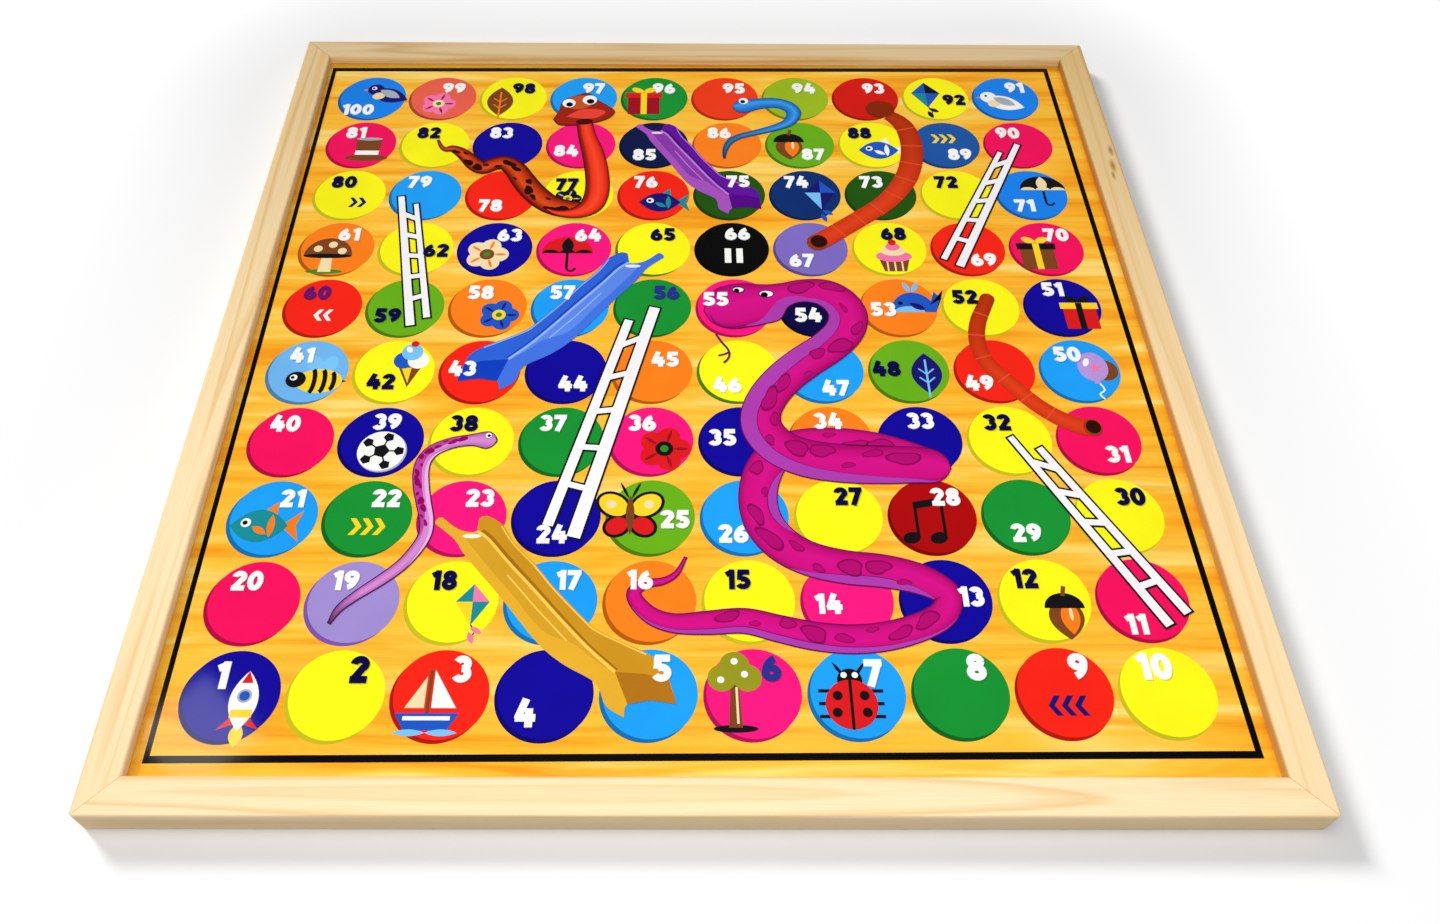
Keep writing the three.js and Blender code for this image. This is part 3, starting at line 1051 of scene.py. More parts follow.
class Track:
    """A smooth route of (x, y, half width) points, such as a snake's body."""

    def __init__(self, route, level, round_start=0.0, round_end=0.0):
        curve = smooth_path(route)
        self.level = level
        self.path = [(x, y) for x, y, _ in curve]
        self.distances = [0.0]
        for a, b in zip(self.path, self.path[1:]):
            self.distances.append(self.distances[-1] + math.dist(a, b))
        self.length = self.distances[-1]
        self.half_widths = []
        for (_, _, half), distance in zip(curve, self.distances):
            ends = rounding(distance, round_start) * rounding(self.length - distance, round_end)
            self.half_widths.append(max(THINNEST, half * ends))

    def nearest(self, place):
        """The distance along the track at its nearest point to a place."""
        return min((math.dist(p, place), d) for p, d in zip(self.path, self.distances))[1]

    def index(self, distance):
        """The number of the path's first point at or past a distance."""
        return sum(d < distance for d in self.distances)

    def ribbon(self, name, material, wider=0.0, lower=0):
        """A strip of ink, mapped by the share along it and the share across, from right to left."""
        path = [Vector(p) for p in self.path]
        path[0] += (path[0] - path[1]).normalized() * wider
        path[-1] += (path[-1] - path[-2]).normalized() * wider
        left, right = edges_of(path, [w + wider for w in self.half_widths])
        row = RIBBON_COLUMNS + 1
        points, shares = [], []
        for i, distance in enumerate(self.distances):
            for c in range(row):
                points.append(tuple(Vector(right[i]).lerp(Vector(left[i]), c / RIBBON_COLUMNS)))
                shares.append((distance / self.length, c / RIBBON_COLUMNS))
        starts = [k for k in range(len(points) - row) if k % row < RIBBON_COLUMNS]
        ink = Ink(name, material)
        ink.film((points, [[k, k + row, k + row + 1, k + 1] for k in starts]), self.level - lower)
        mesh = ink.build()
        chart = mesh.uv_layers.new(name=RIBBON_MAP)
        for loop in mesh.loops:
            chart.uv[loop.index].vector = shares[loop.vertex_index % len(shares)]

    def body(self, name, outline, material, wider=OUTLINE):
        """A ribbon over a darker and wider one."""
        self.ribbon(f"{name}_outline", outline, wider, 1)
        self.ribbon(name, material)

    def band(self, first, last, side, reach):
        """The points and faces of a band along one edge, from near one place to near another."""
        start, end = self.nearest(first), self.nearest(last)
        points = []
        sides = edges_of(self.path, self.half_widths)
        for distance, half, *edges in zip(self.distances, self.half_widths, *sides):
            if start <= distance <= end:
                swell = max(0.0, math.sin(math.pi * (distance - start) / (end - start)))
                width = max(THINNEST, reach * swell ** BAND_SWELL)
                share = min(1.0, width / (2.0 * half))
                outer, inner = edges[::side]
                points += [outer, tuple(Vector(outer).lerp(Vector(inner), share))]
        return points, [[i + 1, i + 3, i + 2, i][::side] for i in range(0, len(points) - 2, 2)]

    def seams(self, spacing, width):
        """Lines across the track at even distances, apart from its last stretch."""
        left, right = edges_of(self.path, self.half_widths)
        places = [self.index(spacing * n) for n in range(1, int(self.length / spacing))]
        return [line([left[i], right[i]], width) for i in places]

    def blobs(self, first, last, spacing, size, middle, sway):
        """Uneven spots that sway about a share across, from -1 at the right to 1 at the left."""
        start, end = self.nearest(first), self.nearest(last)
        spots = []
        for n in range(int((end - start) / spacing)):
            i = max(1, min(len(self.path) - 2, self.index(start + spacing * (n + 0.5))))
            (ax, ay), (x, y), (bx, by) = self.path[i - 1:i + 2]
            heading = math.atan2(by - ay, bx - ax)
            offset = (middle + sway * math.sin(SPOT_SWAY_STEP * n)) * self.half_widths[i]
            turn = math.degrees(heading) + SPOT_TURN * math.sin(n)
            grown = size * (1.0 + SPOT_GROWTH * math.sin(SPOT_GROWTH_STEP * n + 1.0))
            x -= math.sin(heading) * offset
            y += math.cos(heading) * offset
            spots.append(blob(x, y, grown, SPOT_BREADTH * grown, turn, n))
        return spots


def ribbon_material(name, across, along=((0.0, WHITE), (1.0, WHITE))):
    """Ink that changes colour across a ribbon, from right to left, and is shaded along it."""
    nodes = material_nodes(name)
    chart = nodes.add("ShaderNodeUVMap", uv_map=RIBBON_MAP)
    share_along, share_across, _ = nodes.parts(chart.outputs["UV"])
    colour = nodes.ramp(share_across, linear_stops(across))
    shade = nodes.ramp(share_along, linear_stops(along))
    return laminated(nodes, nodes.mixed(1.0, colour, shade, "MULTIPLY"))


def draw(name, colour, films):
    """A piece in one colour, from (points and faces, level) films."""
    ink = Ink(name, ink_material(f"ink_{name}", colour))
    for flat, level in films:
        ink.film(flat, level)
    ink.build()


def paint(name, colour, level, *outlines):
    """A piece in one colour and on one level."""
    draw(name, colour, [(union(outlines), level)])


def make_eyes(name, eyes, look, level, narrow=1.0, edge=EYE_EDGE):
    """White eyes, each (x, y, half width), whose pupils are moved by a share of the half width."""
    whites, blacks = [], []
    for x, y, radius in eyes:
        blacks.append((union([ellipse(x, y, radius + edge, narrow * radius + edge)]), level))
        whites.append((union([ellipse(x, y, radius, narrow * radius)]), level + 1))
        pupil = circle(x + look[0] * radius, y + look[1] * radius, PUPIL_SHARE * radius)
        blacks.append((union([pupil]), level + 2))
    draw(f"{name}_eyes", INK_WHITE, whites)
    draw(f"{name}_pupils", INK_BLACK, blacks)


# The large snake: its body crosses over itself, so the part with the head lies higher
MAGENTA = "snake_55_to_16"
MAGENTA_LOW, MAGENTA_HIGH = LEVEL_SNAKE + 1, LEVEL_SNAKE + 6
MAGENTA_EDGE, MAGENTA_FOLD, MAGENTA_BELLY = (104, 10, 92), (122, 14, 104), (172, 60, 172)
SMILE_WIDTH, TONGUE_WIDTH, FORK_WIDTH = 0.7, 1.1, 1.0


def make_magenta_body():
    outline = ink_material("ink_magenta_outline", MAGENTA_EDGE)
    body = ribbon_material("ink_magenta_body", [
        (0.0, (164, 6, 98)), (0.16, (204, 12, 126)), (0.60, (214, 15, 136)), (0.86, (194, 8, 118)),
        (1.0, (160, 4, 96)),
    ])
    front = Track([
        (3, 21, 13), (10, 22, 14), (20, 24.5, 15.4), (30, 27, 14.2), (38.5, 30, 10.6),
        (47, 33.4, 7.8), (57, 35.8, 7.8), (68, 34.3, 9.2), (76, 27.5, 9.8), (79.3, 17.5, 10),
        (76, 6.5, 10), (67, -4, 10), (54, -14.5, 10), (43, -25, 9.8), (34.5, -36.5, 9.6),
        (30, -48, 9.6), (31, -58.5, 9.9), (38.5, -68.5, 10.3), (51, -74.8, 10.7), (68, -77.8, 10.9),
        (88, -78.6, 10.7), (104, -78.6, 10.2), (120, -80.2, 9),
    ], MAGENTA_HIGH, round_start=13.0, round_end=10.0)
    back = Track([
        (116, -79, 5), (108, -74.5, 6), (98, -70.6, 6.6), (86, -67, 7), (73, -64.8, 7.2),
        (60, -64.4, 7.3), (49, -65.8, 7.7), (38, -70.5, 8.4), (30, -82, 8.8), (26.5, -97, 8.8),
        (28.5, -111, 8.9), (36, -122.5, 8.9), (48, -130.5, 8.6), (64, -135, 8.4), (82, -137.2, 8.2),
        (97, -141, 7.6), (107.5, -147, 6.4), (109.3, -152.5, 5.8), (105, -159.5, 6),
        (95, -165, 6.3), (80, -169.5, 6.5), (64, -171, 6.6), (48, -169.5, 6.5), (33, -166, 6.2),
        (18, -162.3, 5.8), (2, -163.2, 5.4), (-12, -163.6, 4.4), (-22, -160.5, 3.8),
        (-29, -154, 3.3), (-31, -148, 2.8), (-26, -144, 1.9), (-18, -142.5, 1.4),
        (-12, -138.5, 0.9), (-8, -130.5, 0.3),
    ], MAGENTA_LOW, round_start=7.0)
    front.body(f"{MAGENTA}_front", outline, body)
    back.body(f"{MAGENTA}_back", outline, body)
    # Track, first and last place, edge and reach of each stretch of belly
    bellies = [
        (front, (42, 31), (116, -80), RIGHT, 8.0), (back, (32, -78), (37, -123.5), LEFT, 4.2),
        (back, (44, -128.5), (107, -147), RIGHT, 4.6), (back, (107, -157), (-29, -154), LEFT, 3.0),
    ]
    parts = (("belly_fold", MAGENTA_FOLD, BELLY_LINE, 1), ("belly", MAGENTA_BELLY, 0.0, 2))
    for part, colour, wider, rise in parts:
        draw(f"{MAGENTA}_{part}", colour, [
            (track.band(first, last, side, reach + wider), track.level + rise)
            for track, first, last, side, reach in bellies
        ])
    # Track, first and last place, spacing, size, middle and sway of each row of spots
    rows = [
        (front, (48, 34), (115, -80), 13.5, 5.4, 0.32, 0.40),
        (back, (96, -68), (107, -147), 13.0, 5.2, -0.05, 0.42),
        (back, (105, -160), (0, -163), 13.0, 4.6, -0.25, 0.35),
    ]
    spots = [(spot, track.level) for track, *row in rows for spot in track.blobs(*row)]
    edges = [(union([spot]), level + 3) for spot, level in spots]
    cores = [(union([scaled(spot, *SPOT_CORE)]), level + 4) for spot, level in spots]
    draw(f"{MAGENTA}_spot_edges", (138, 4, 88), edges)
    draw(f"{MAGENTA}_spots", (180, 8, 112), cores)


def make_magenta_head():
    jaw = smooth_path([
        (24, 10.2), (29, 10.6), (35, 12.4), (39.6, 13.6), (43, 15.6), (45, 19), (46.5, 22.6),
        (49, 25.4), (54, 28), (60, 29.4),
    ])
    throat = smooth_path([
        (60, 29.4), (54.5, 31.6), (47.5, 31), (42.2, 28.2), (38.6, 22.6), (32.5, 14.6), (24, 10.2),
    ])
    smile = smooth_path([(6, 17.5), (8.5, 12.8), (13, 9.8), (19, 9.6), (25, 11)])
    tongue = smooth_path([
        (8.6, 4.6), (11.7, -1.3), (14.4, -5.3), (15.4, -9.1), (14.4, -12.5), (12.2, -14.9),
    ])
    fork = smooth_path([(15.3, -7.7), (12.7, -9.2), (9.6, -10.1)])
    forked = stroke(tongue, TONGUE_WIDTH) + stroke(fork, FORK_WIDTH)
    eyes = ((21.3, 36.2, 2.9), (36.4, 33.3, 3.7))
    paint(f"{MAGENTA}_throat_edge", MAGENTA_EDGE, MAGENTA_HIGH - 2, *stroke(jaw, 2.0 * OUTLINE))
    paint(f"{MAGENTA}_throat", MAGENTA_BELLY, MAGENTA_HIGH + 3, jaw[:-1] + throat[:-1])
    paint(f"{MAGENTA}_smile", MAGENTA_FOLD, MAGENTA_HIGH + 4, *stroke(smile, SMILE_WIDTH))
    paint(f"{MAGENTA}_tongue", MAGENTA_EDGE, MAGENTA_LOW, *forked)
    make_eyes(MAGENTA, eyes, (-0.3, -0.2), MAGENTA_HIGH + 5, narrow=0.58, edge=0.6)


# The outline of the red snake's head, as shares of its length and height
HEAD_OUTLINE = (1.03, 1.04)


def make_red_snake():
    name = "snake_97_to_82"
    dark = (66, 10, 8)
    outline = ink_material("ink_red_outline", dark)
    body = ribbon_material("ink_red_back", [
        (0.0, (64, 8, 4)), (0.14, (150, 34, 8)), (0.40, (210, 62, 14)), (0.62, (222, 78, 20)),
        (0.84, (164, 38, 8)), (1.0, (64, 8, 4)),
    ])
    neck = ribbon_material("ink_red_neck", [
        (0.0, (104, 18, 8)), (0.16, (168, 34, 14)), (0.26, (240, 50, 24)), (0.55, (250, 74, 40)),
        (0.84, (238, 44, 22)), (1.0, (176, 20, 12)),
    ])
    low, high = LEVEL_SNAKE + 1, LEVEL_SNAKE + 5
    back = Track([
        (-64, 98.5, 6), (-76, 99.5, 6.6), (-86, 103.8, 6.8), (-95, 113, 6.9), (-102, 123.5, 6.7),
        (-107.5, 133, 6.2), (-114, 138.6, 5.4), (-120.5, 137.4, 4.9), (-126.5, 134.2, 5),
        (-132, 137.5, 4.7), (-137, 143.5, 4), (-142, 148.5, 3.2), (-147, 151.2, 2.2),
        (-150.5, 150.2, 1.3), (-153.5, 153, 0.8), (-156, 158.5, 0.3),
    ], low, round_start=5.0)
    front = Track([
        (-68.5, 175, 4.4), (-66.3, 163, 4.9), (-62.8, 150, 5.9), (-60, 136, 6.4), (-58.3, 121, 6.6),
        (-58.8, 110, 6.6), (-61.5, 102, 6.2), (-67, 97.2, 4.8), (-74, 95.4, 3.0), (-81, 96, 1.6),
        (-86.5, 98.8, 0.4),
    ], high)
    back.body(f"{name}_back", outline, body)
    front.body(f"{name}_neck", outline, neck)
    spots = back.blobs((-72, 100), (-150, 150), spacing=6.6, size=2.9, middle=0.1, sway=0.5)
    head = smooth_path([
        (-87.5, 179), (-84.5, 186.5), (-82.6, 196), (-76, 200.5), (-67.5, 203.5), (-61.5, 197),
        (-55, 191.5), (-50.8, 186.5), (-54, 180.5), (-61, 176.5), (-69, 174.5), (-77, 173.5),
        (-84, 174), (-87.5, 179),
    ])[:-1]
    lips = smooth_path([
        (-80, 181), (-72, 187.5), (-63, 188.5), (-56, 186), (-60, 181), (-68, 179), (-80, 181),
    ])[:-1]
    paint(f"{name}_spots", (40, 8, 6), low + 1, *spots)
    paint(f"{name}_head_outline", dark, high + 1, scaled(head, *HEAD_OUTLINE))
    paint(f"{name}_head", (158, 34, 12), high + 2, head)
    paint(f"{name}_brow", (196, 84, 34), high + 3, ellipse(-72.5, 195.0, 9.0, 6.6, 14.0))
    paint(f"{name}_lips", (236, 66, 52), high + 4, lips)
    paint(f"{name}_throat", dark, high + 5, ellipse(-68.6, 176.4, 5.2, 2.8, 6.0))
    make_eyes(name, ((-79.0, 194.0, 4.1), (-66.2, 197.2, 4.5)), (0.1, -0.3), high + 5)


def make_blue_snake():
    name = "snake_95_to_86"
    outline = ink_material("ink_blue_outline", (14, 66, 124))
    body = ribbon_material("ink_blue_body", [
        (0.0, (22, 100, 182)), (0.30, (32, 128, 218)), (0.62, (66, 158, 236)),
        (0.80, (34, 128, 214)), (1.0, (20, 92, 168)),
    ], [
        (0.0, WHITE), (0.55, WHITE), (0.80, (214, 214, 196)), (0.92, (190, 190, 170)),
        (1.0, (150, 96, 110)),
    ])
    track = Track([
        (23, 191.2, 5.2), (29.5, 192, 6), (38, 194.4, 4.9), (49, 195.4, 4.3), (56.5, 192.5, 4.4),
        (60.2, 187, 4.4), (59.2, 181, 3.9), (55.5, 175.8, 3.2), (47, 171.2, 2.5), (36, 167, 2),
        (25.5, 163, 1.9), (19.5, 157.5, 1.8), (16.9, 150, 1.2), (16.4, 143.5, 0.4),
    ], LEVEL_SNAKE + 1, round_start=5.0)
    track.body(name, outline, body, FINE_OUTLINE)
    make_eyes(name, ((29.6, 197.0, 3.0),), (-0.15, -0.2), LEVEL_SNAKE + 2)


def make_violet_snake():
    name = "snake_38_to_19"
    outline = ink_material("ink_violet_outline", (74, 20, 78))
    body = ribbon_material("ink_violet_body", [
        (0.0, (176, 84, 172)), (0.30, (206, 130, 202)), (0.60, (212, 140, 208)),
        (1.0, (186, 100, 184)),
    ], [(0.0, WHITE), (0.86, WHITE), (1.0, (120, 90, 120))])
    track = Track([
        (-100.2, -64.8, 4.5), (-105.5, -64.5, 4.7), (-112, -64.5, 3.1), (-121, -66.2, 2.9),
        (-129, -70, 3.1), (-133.4, -75.5, 3.3), (-134.6, -82.5, 3.5), (-133.4, -91.5, 3.5),
        (-131, -101, 3.2), (-128.4, -110.5, 3), (-128.2, -118.5, 2.8), (-131.5, -126.8, 2.7),
        (-137.5, -135.4, 2.6), (-146, -143.2, 2.4), (-154.2, -149.8, 2), (-161, -156.5, 1.5),
        (-164.2, -163.5, 0.4),
    ], LEVEL_SNAKE + 1, round_start=5.0)
    track.body(name, outline, body)
    shade = track.band((-111, -64), (-129, -121), RIGHT, 4.0)
    light = track.band((-124, -67), (-135, -133), LEFT, 2.0)
    spots = track.blobs((-113, -64), (-129, -116), spacing=4.2, size=1.9, middle=-0.4, sway=0.3)
    draw(f"{name}_shade", (190, 64, 160), [(shade, LEVEL_SNAKE + 2)])
    draw(f"{name}_light", (238, 178, 230), [(light, LEVEL_SNAKE + 3)])
    paint(f"{name}_spots", (150, 0, 98), LEVEL_SNAKE + 4, *spots)
    make_eyes(name, ((-104.2, -61.8, 1.6),), (0.15, -0.1), LEVEL_SNAKE + 2)


# The two rails of each ladder: foot, top, width at the foot and width at the top
LADDERS = {
    "ladder_24_to_56": (
        ((-72, -113.3), (-37.3, 14.2), 5.0, 4.6), ((-59.7, -119.7), (-23.7, 23.2), 6.4, 5.6),
    ),
    "ladder_59_to_79": (
        ((-152.6, 10), (-171.2, 109), 4.6, 3.6), ((-144.6, 15.6), (-161.8, 102.8), 3.6, 2.6),
    ),
    "ladder_69_to_90": (
        ((136.2, 60.2), (182.2, 149.8), 3.4, 2.8), ((144.4, 54.8), (193.8, 157), 4.6, 3.4),
    ),
    "ladder_11_to_32": (
        ((205.2, -164), (152.2, -61.7), 4.4, 3.2), ((214.6, -158), (165.2, -68.3), 4.2, 3.6),
    ),
}


def make_ladders():
    for name, rails in LADDERS.items():
        dark, pale = [], []
        for foot, top, wide, narrow in rails:
            over = (Vector(top) - Vector(foot)).normalized() * LADDER_OUTLINE
            longer = [tuple(Vector(foot) - over), tuple(Vector(top) + over)]
            dark.append(line(longer, wide + 2.0 * LADDER_OUTLINE, narrow + 2.0 * LADDER_OUTLINE))
            pale.append(line([foot, top], wide, narrow))
        for i in range(LADDER_RUNGS):
            share = FIRST_RUNG + RUNG_STEP * i
            ends = [tuple(Vector(foot).lerp(Vector(top), share)) for foot, top, _, _ in rails]
            dark.append(line(ends, RUNG_WIDTH + 2.0 * LADDER_OUTLINE))
            pale.append(line(ends, RUNG_WIDTH))
        paint(f"{name}_outline", (20, 18, 20), LEVEL_TRACK, *dark)
        paint(name, (248, 246, 248), LEVEL_TRACK + 1, *pale)


# A slide's outlines, as shares of its length: along it from the top gap to the end, and to its left
SLIDE_LEFT = [
    (-0.11, -0.08), (0, -0.072), (0.08, -0.088), (0.31, -0.108), (0.54, -0.134), (0.67, -0.126),
    (0.78, -0.097), (0.83, -0.095), (0.90, -0.125), (0.975, -0.11),
]
SLIDE_END = [(0.975, -0.11), (0.948, -0.067), (0.995, 0), (1.07, 0.054)]
SLIDE_RIGHT = [
    (1.07, 0.054), (0.99, 0.098), (0.93, 0.124), (0.86, 0.116), (0.76, 0.082), (0.66, 0.052),
    (0.60, 0.05), (0.43, 0.058), (0.30, 0.073), (0.17, 0.08), (0.08, 0.10), (0.005, 0.084),
    (-0.008, 0.056),
]
SLIDE_GAP = [
    (-0.008, 0.056), (0.03, 0.012), (-0.01, -0.026), (-0.065, -0.04), (-0.114, -0.043),
    (-0.12, -0.067), (-0.11, -0.08),
]
SLIDE_WALL = [
    (0.03, -0.041), (0.21, -0.061), (0.35, -0.072), (0.48, -0.088), (0.555, -0.083),
    (0.645, -0.045), (0.745, -0.035), (0.83, -0.015),
]
SLIDE_RIDGE = [
    (0.03, 0.012), (0.09, 0.02), (0.22, 0.008), (0.39, -0.002), (0.54, -0.013), (0.69, -0.02),
    (0.83, -0.015),
]
SLIDE_RUN_OUT = [
    (0.83, -0.015), (0.91, 0.055), (0.985, 0.10), (1.07, 0.054), (0.995, 0), (0.948, -0.067),
]
SLIDE_STREAK = [(0.26, -0.03), (0.44, -0.046), (0.62, -0.055)]
SLIDE_STEP = 0.02
RIDGE_WIDTH, STREAK_WIDTH = 0.012, 0.006
CREASE_START, CREASE_END = 0.0168, 0.006

# The middle, half length, half width and turn of the white lip at the top
SLIDE_LIP = (0.034, -0.016, 0.036, 0.010, 45.0)

# Top gap, end and breadth of each slide, then the colours of its parts from the lowest ink upwards
SLIDES = {
    "slide_23_to_5": ((-108, -115), (-22.5, -199.7), 1.0, (
        (230, 174, 44), (214, 160, 38), (204, 146, 28), (178, 114, 22), (164, 110, 18),
        (255, 204, 84), (250, 240, 214),
    )),
    "slide_65_to_43": ((-34.9, 58), (-113.5, -26.2), -1.05, (
        (66, 114, 224), (92, 136, 232), (44, 98, 214), (12, 62, 190), (26, 74, 188),
        (146, 180, 252), (230, 236, 250),
    )),
    "slide_85_to_75": ((-24.3, 169.6), (28.3, 101.2), 1.25, (
        (168, 82, 190), (138, 58, 168), (96, 16, 158), (84, 2, 134), (72, 0, 118), (190, 122, 212),
        (238, 224, 242),
    )),
}


def make_slides():
    """Moulded slides: walls, floor, dark run-out, crease, bright edges and a white lip."""
    paths = (SLIDE_LEFT, SLIDE_END, SLIDE_RIGHT, SLIDE_GAP, SLIDE_WALL, SLIDE_RIDGE)
    left, foot, right, gap, wall, ridge = (smooth_path(path, SLIDE_STEP) for path in paths)
    crease = [(u, v + RIDGE_WIDTH) for u, v in ridge[1:]]
    rim = [(u, v - STREAK_WIDTH) for u, v in smooth_path(SLIDE_RIGHT[3:-2], SLIDE_STEP)]
    streaks = [line(path, STREAK_WIDTH) for path in (rim, SLIDE_STREAK)]
    parts = {
        "left_wall": [left[:-1] + foot[:-1] + right[:-1] + gap[:-1]],
        "floor": [wall[:-1] + ridge[::-1]],
        "right_wall": [ridge + [SLIDE_RUN_OUT[1]] + smooth_path(SLIDE_RIGHT[1:], SLIDE_STEP)],
        "run_out": [SLIDE_RUN_OUT],
        "crease": [line(crease, CREASE_START, CREASE_END)],
        "ridge": [line(ridge, RIDGE_WIDTH), *streaks],
        "lip": [ellipse(*SLIDE_LIP)],
    }
    for name, (top, end, breadth, tones) in SLIDES.items():
        along = Vector(end) - Vector(top)
        leftward = Vector((-along.y, along.x)) * breadth
        for level, (part, tone) in enumerate(zip(parts, tones), LEVEL_TRACK + 1):
            laid = [
                [tuple(Vector(top) + along * u + leftward * v) for u, v in outline]
                for outline in parts[part]
            ]
            paint(f"{name}_{part}", tone, level, *laid)


def make_tubes():
    """Bent tubes in short lengths, browner at the entry, with a dark hollow in the lower mouth."""
    tint = [(0.0, (206, 206, 130)), (0.25, (224, 224, 170)), (0.55, WHITE), (1.0, WHITE)]
    tube = ribbon_material("ink_tube", [
        (0.0, (198, 50, 16)), (0.20, (214, 57, 21)), (0.50, (224, 64, 24)), (0.80, (214, 56, 20)),
        (1.0, (196, 48, 14)),
    ], tint)
    upper, lower = "tube_93_to_67", "tube_52_to_31"
    upper_track = Track([
        (119, 184, 4.6), (124.2, 178.7, 5.6), (128, 171, 6.2), (129.7, 160, 6.6), (129.2, 149, 6.7),
        (127, 138, 6.7), (123.1, 127, 6.6), (117.6, 117.1, 6.4), (111, 108.3, 6.2),
        (103.3, 100.6, 6), (93.4, 92.9, 6), (83.5, 85.2, 6), (73.6, 77.5, 6.1), (67, 73, 6.1),
    ], LEVEL_TRACK + 1)
    lower_track = Track([
        (157, 34, 4), (153, 25, 4), (148.4, 15, 4.3), (145.8, 4.5, 4.4), (145.9, -6, 4.4),
        (149.5, -16.6, 4.4), (156.3, -25.6, 4.5), (163, -34.6, 4.6), (170.5, -43.2, 4.6),
        (179.6, -50.6, 4.8), (188, -55, 5), (194, -56, 5),
    ], LEVEL_TRACK + 1, round_start=4.0)
    for name, track in ((upper, upper_track), (lower, lower_track)):
        track.ribbon(name, tube)
        seams = track.seams(SEAM_SPACING, SEAM_WIDTH)
        paint(f"{name}_seams", (227, 80, 40), LEVEL_TRACK + 2, *seams)
    paint(f"{upper}_entry", (138, 38, 4), LEVEL_TRACK + 2, ellipse(114.2, 189.8, 9.0, 8.0))
    mouths = {
        upper: ((66.8, 72.8, 5.9, 6.1), (67.8, 73.6, 4.7, 4.8)),
        lower: ((194.2, -55.8, 4.6, 5.1), (194.6, -55.4, 3.7, 4.1)),
    }
    for name, (mouth, hollow) in mouths.items():
        paint(f"{name}_mouth", (152, 56, 14), LEVEL_TRACK + 2, ellipse(*mouth))
        paint(f"{name}_hollow", (44, 8, 2), LEVEL_TRACK + 3, ellipse(*hollow))


# Setting

CAMERA_PLACE = (-0.0140, -0.4075, 0.4843)
CAMERA_TURN = (37.82, -0.35, 0.17)
CAMERA_LENS = 29.85
CAMERA_SHIFT = (0.0278, -0.0431)
SENSOR_WIDTH = 36.0
HORIZON, HORIZON_HEIGHT = (0.9, 0.9, 0.9, 1.0), 0.12
CEILING, CEILING_HEIGHT = (0.1, 0.1, 0.1, 1.0), 0.45
FLOOR_HALF = 5.0
FLOOR_DROP = 0.0002
FLOOR_GREY = (0.5, 0.5, 0.5, 1.0)
FLOOR_WHITE = (0.93, 0.93, 0.93, 1.0)

# The floor shows the shadow near a box this large, and turns to plain white over this reach from it
SHADOW_BOX = 0.2
SHADOW_REACH = (0.085, 0.15)
SHADOW_GLOW = 0.05

# The pine rails: material, whether the grain runs from left to right, the rail's tone (the rear
# rail's darker and the right rail's a touch browner as painted shade), then what multiplies it on
# the wall around the print (painted shade, and painted light bounced from the print on the rear
# rail) and at the far end (painted shade)
RAILS = {
    "front_rail": ("pine_front", True, (252, 227, 182), (0.84, 0.79, 0.72, 1.0), FULL),
    "right_rail": (
        "pine_right", False, (250, 224, 178), (0.53, 0.36, 0.17, 1.0), (0.76, 0.70, 0.53, 1.0),
    ),
    "rear_rail": ("pine_rear", True, (222, 197, 154), (1.3, 1.3, 1.15, 1.0), FULL),
    "left_rail": ("pine_left", False, (253, 226, 180), FULL, (0.79, 0.75, 0.64, 1.0)),
}

# Small knots as (x, y, radius)
KNOTS = {"right_rail": ((246.6, 146.0, 1.8), (244.9, 132.5, 2.2), (243.4, 124.0, 1.4))}


def make_camera():
    data = bpy.data.cameras.new("camera")
    data.sensor_fit = "HORIZONTAL"
    data.sensor_width = SENSOR_WIDTH
    data.lens = CAMERA_LENS
    data.shift_x, data.shift_y = CAMERA_SHIFT
    camera = add_object("camera", data)
    tilt, roll, swing = (Matrix.Rotation(math.radians(a), 4, x) for a, x in zip(CAMERA_TURN, "XYZ"))
    camera.matrix_world = Matrix.Translation(CAMERA_PLACE) @ (tilt @ roll @ swing)
    bpy.context.scene.camera = camera


def make_lamp(name, kind, place, target, energy, **shape):
    data = bpy.data.lights.new(name, kind)
    data.energy = energy
    for key, value in shape.items():
        setattr(data, key, value)
    lamp = add_object(name, data)
    aim = (Vector(target) - Vector(place)).to_track_quat("-Z", "Y")
    lamp.matrix_world = Matrix.Translation(place) @ aim.to_matrix().to_4x4()
    return lamp


def make_lamps():
    """A soft key lamp, a small one that the print mirrors, and daylight that it does not mirror."""
    middle = (0.0, 0.0, 0.0)
    make_lamp("key", "AREA", (-0.04, -0.30, 0.8), middle, energy=4.5, size=0.6)
    make_lamp("window", "AREA", (-0.70, 0.27, 1.2), (-0.2, -0.2, 0.0), energy=0.22, size=0.12)
    sun = make_lamp("daylight", "SUN", (-1.05, 1.05, 1.0), middle, energy=2.35, angle=0.26)
    sun.visible_glossy = False


def make_world():
    """A pale horizon under a dim ceiling, so that the glossy print keeps its depth."""
    world = bpy.data.worlds.new("studio")
    nodes = Nodes(world, "Background", "Generated")
    height = nodes.parts(nodes.place)[2]
    nodes.set(Color=nodes.ramp(height, [(HORIZON_HEIGHT, HORIZON), (CEILING_HEIGHT, CEILING)]))
    bpy.context.scene.world = world


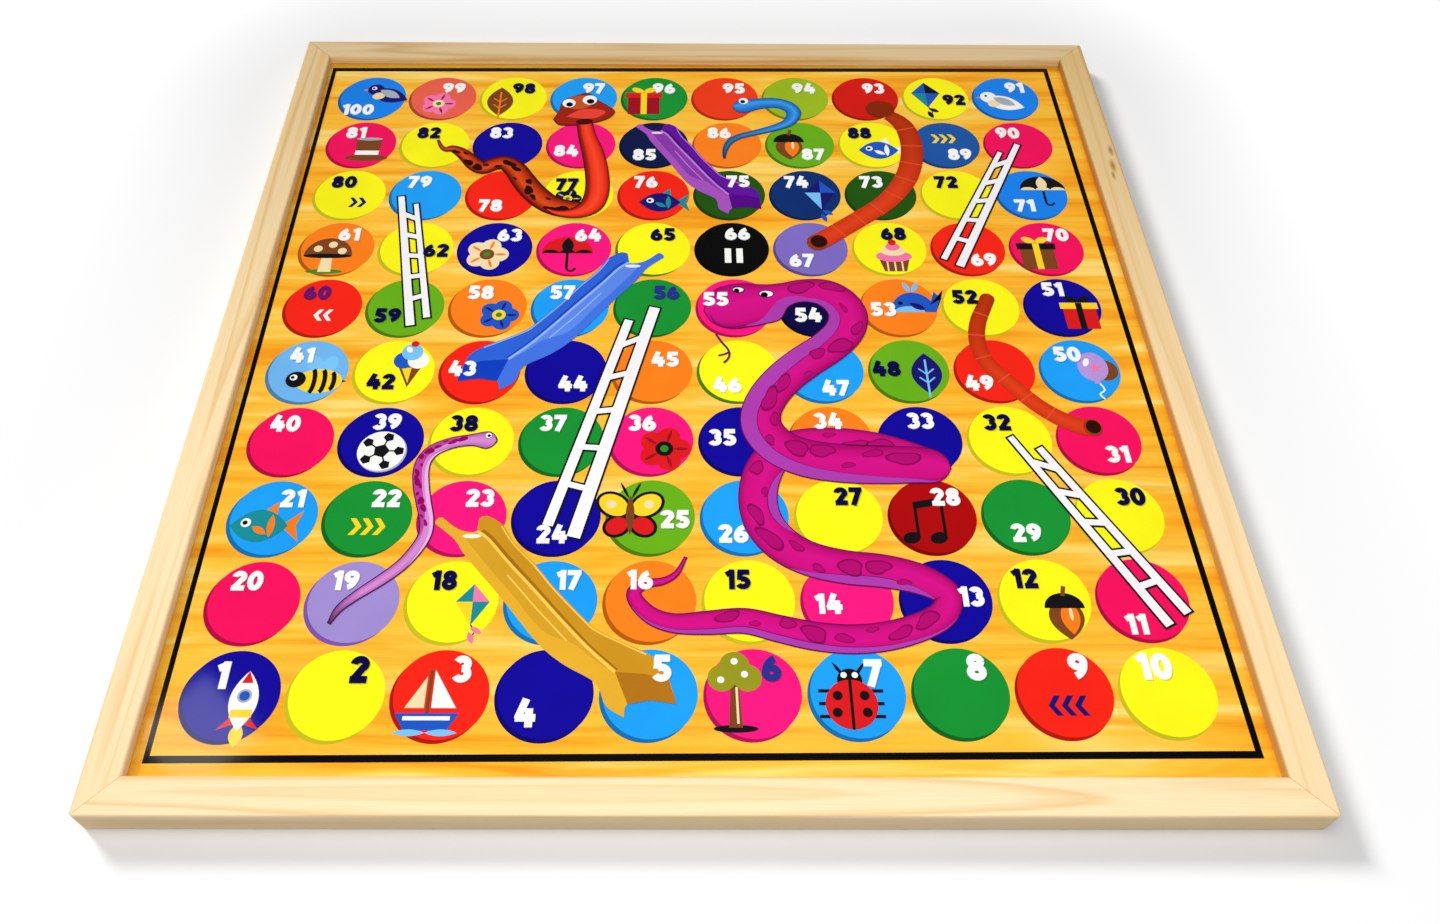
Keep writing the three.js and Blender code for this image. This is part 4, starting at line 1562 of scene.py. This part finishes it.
def make_floor():
    """A floor that looks white apart from the board's shadow, and gives little light back."""
    mesh = bpy.data.meshes.new("floor")
    corners = rectangle(0.0, 0.0, FLOOR_HALF, FLOOR_HALF)
    mesh.from_pydata([(x, y, 0.0) for x, y in corners], [], [[0, 1, 2, 3]])
    nodes = material_nodes("floor")
    nodes.set(Base_Color=FLOOR_GREY, Roughness=0.9, Specular_IOR_Level=0.0)
    bright = nodes.add("ShaderNodeBsdfDiffuse")
    bright.inputs["Color"].default_value = FLOOR_WHITE
    glow = nodes.add("ShaderNodeEmission")
    past = []
    for side in nodes.parts(nodes.place)[:2]:
        beyond = nodes.sums("SUBTRACT", nodes.sums("ABSOLUTE", side), SHADOW_BOX)
        past.append(nodes.sums("POWER", nodes.sums("MAXIMUM", beyond), 2.0))
    reach = nodes.sums("SQRT", nodes.sums("ADD", *past))
    white = nodes.spread(reach, SHADOW_GLOW, 1.0, *SHADOW_REACH)
    seen = nodes.mixed_shaders(white, bright.outputs[0], glow.outputs[0])
    path = nodes.add("ShaderNodeLightPath").outputs
    rays = nodes.sums("MAXIMUM", path["Is Camera Ray"], path["Is Glossy Ray"])
    rays = nodes.sums("MAXIMUM", rays, path["Is Transmission Ray"])
    both = nodes.mixed_shaders(rays, nodes.shader.outputs[0], seen)
    nodes.join(both, nodes.tree.nodes["Material Output"].inputs["Surface"])
    mesh.materials.append(nodes.owner)
    floor = add_object("floor", mesh)
    floor.location.z = -FLOOR_DROP


def dress_frame():
    """The construction keeps its shapes and gets the finish of its materials."""
    looks = {"backing_panel": hardboard_material(), "printed_sheet": sheet_material()}
    for seed, (name, look) in enumerate(RAILS.items(), 1):
        looks[name] = pine_material(seed, *look, KNOTS.get(name, ()))
    steel = steel_material()
    for name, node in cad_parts.items():
        node.data.materials.clear()
        node.data.materials.append(looks.get(name, steel))


make_camera()
make_world()
make_lamps()
make_floor()
dress_frame()
make_border()
make_discs()
make_numerals()
make_motifs()
make_ladders()
make_slides()
make_tubes()
make_magenta_body()
make_magenta_head()
make_red_snake()
make_blue_snake()
make_violet_snake()

bpy.context.scene.view_settings.view_transform = "Standard"
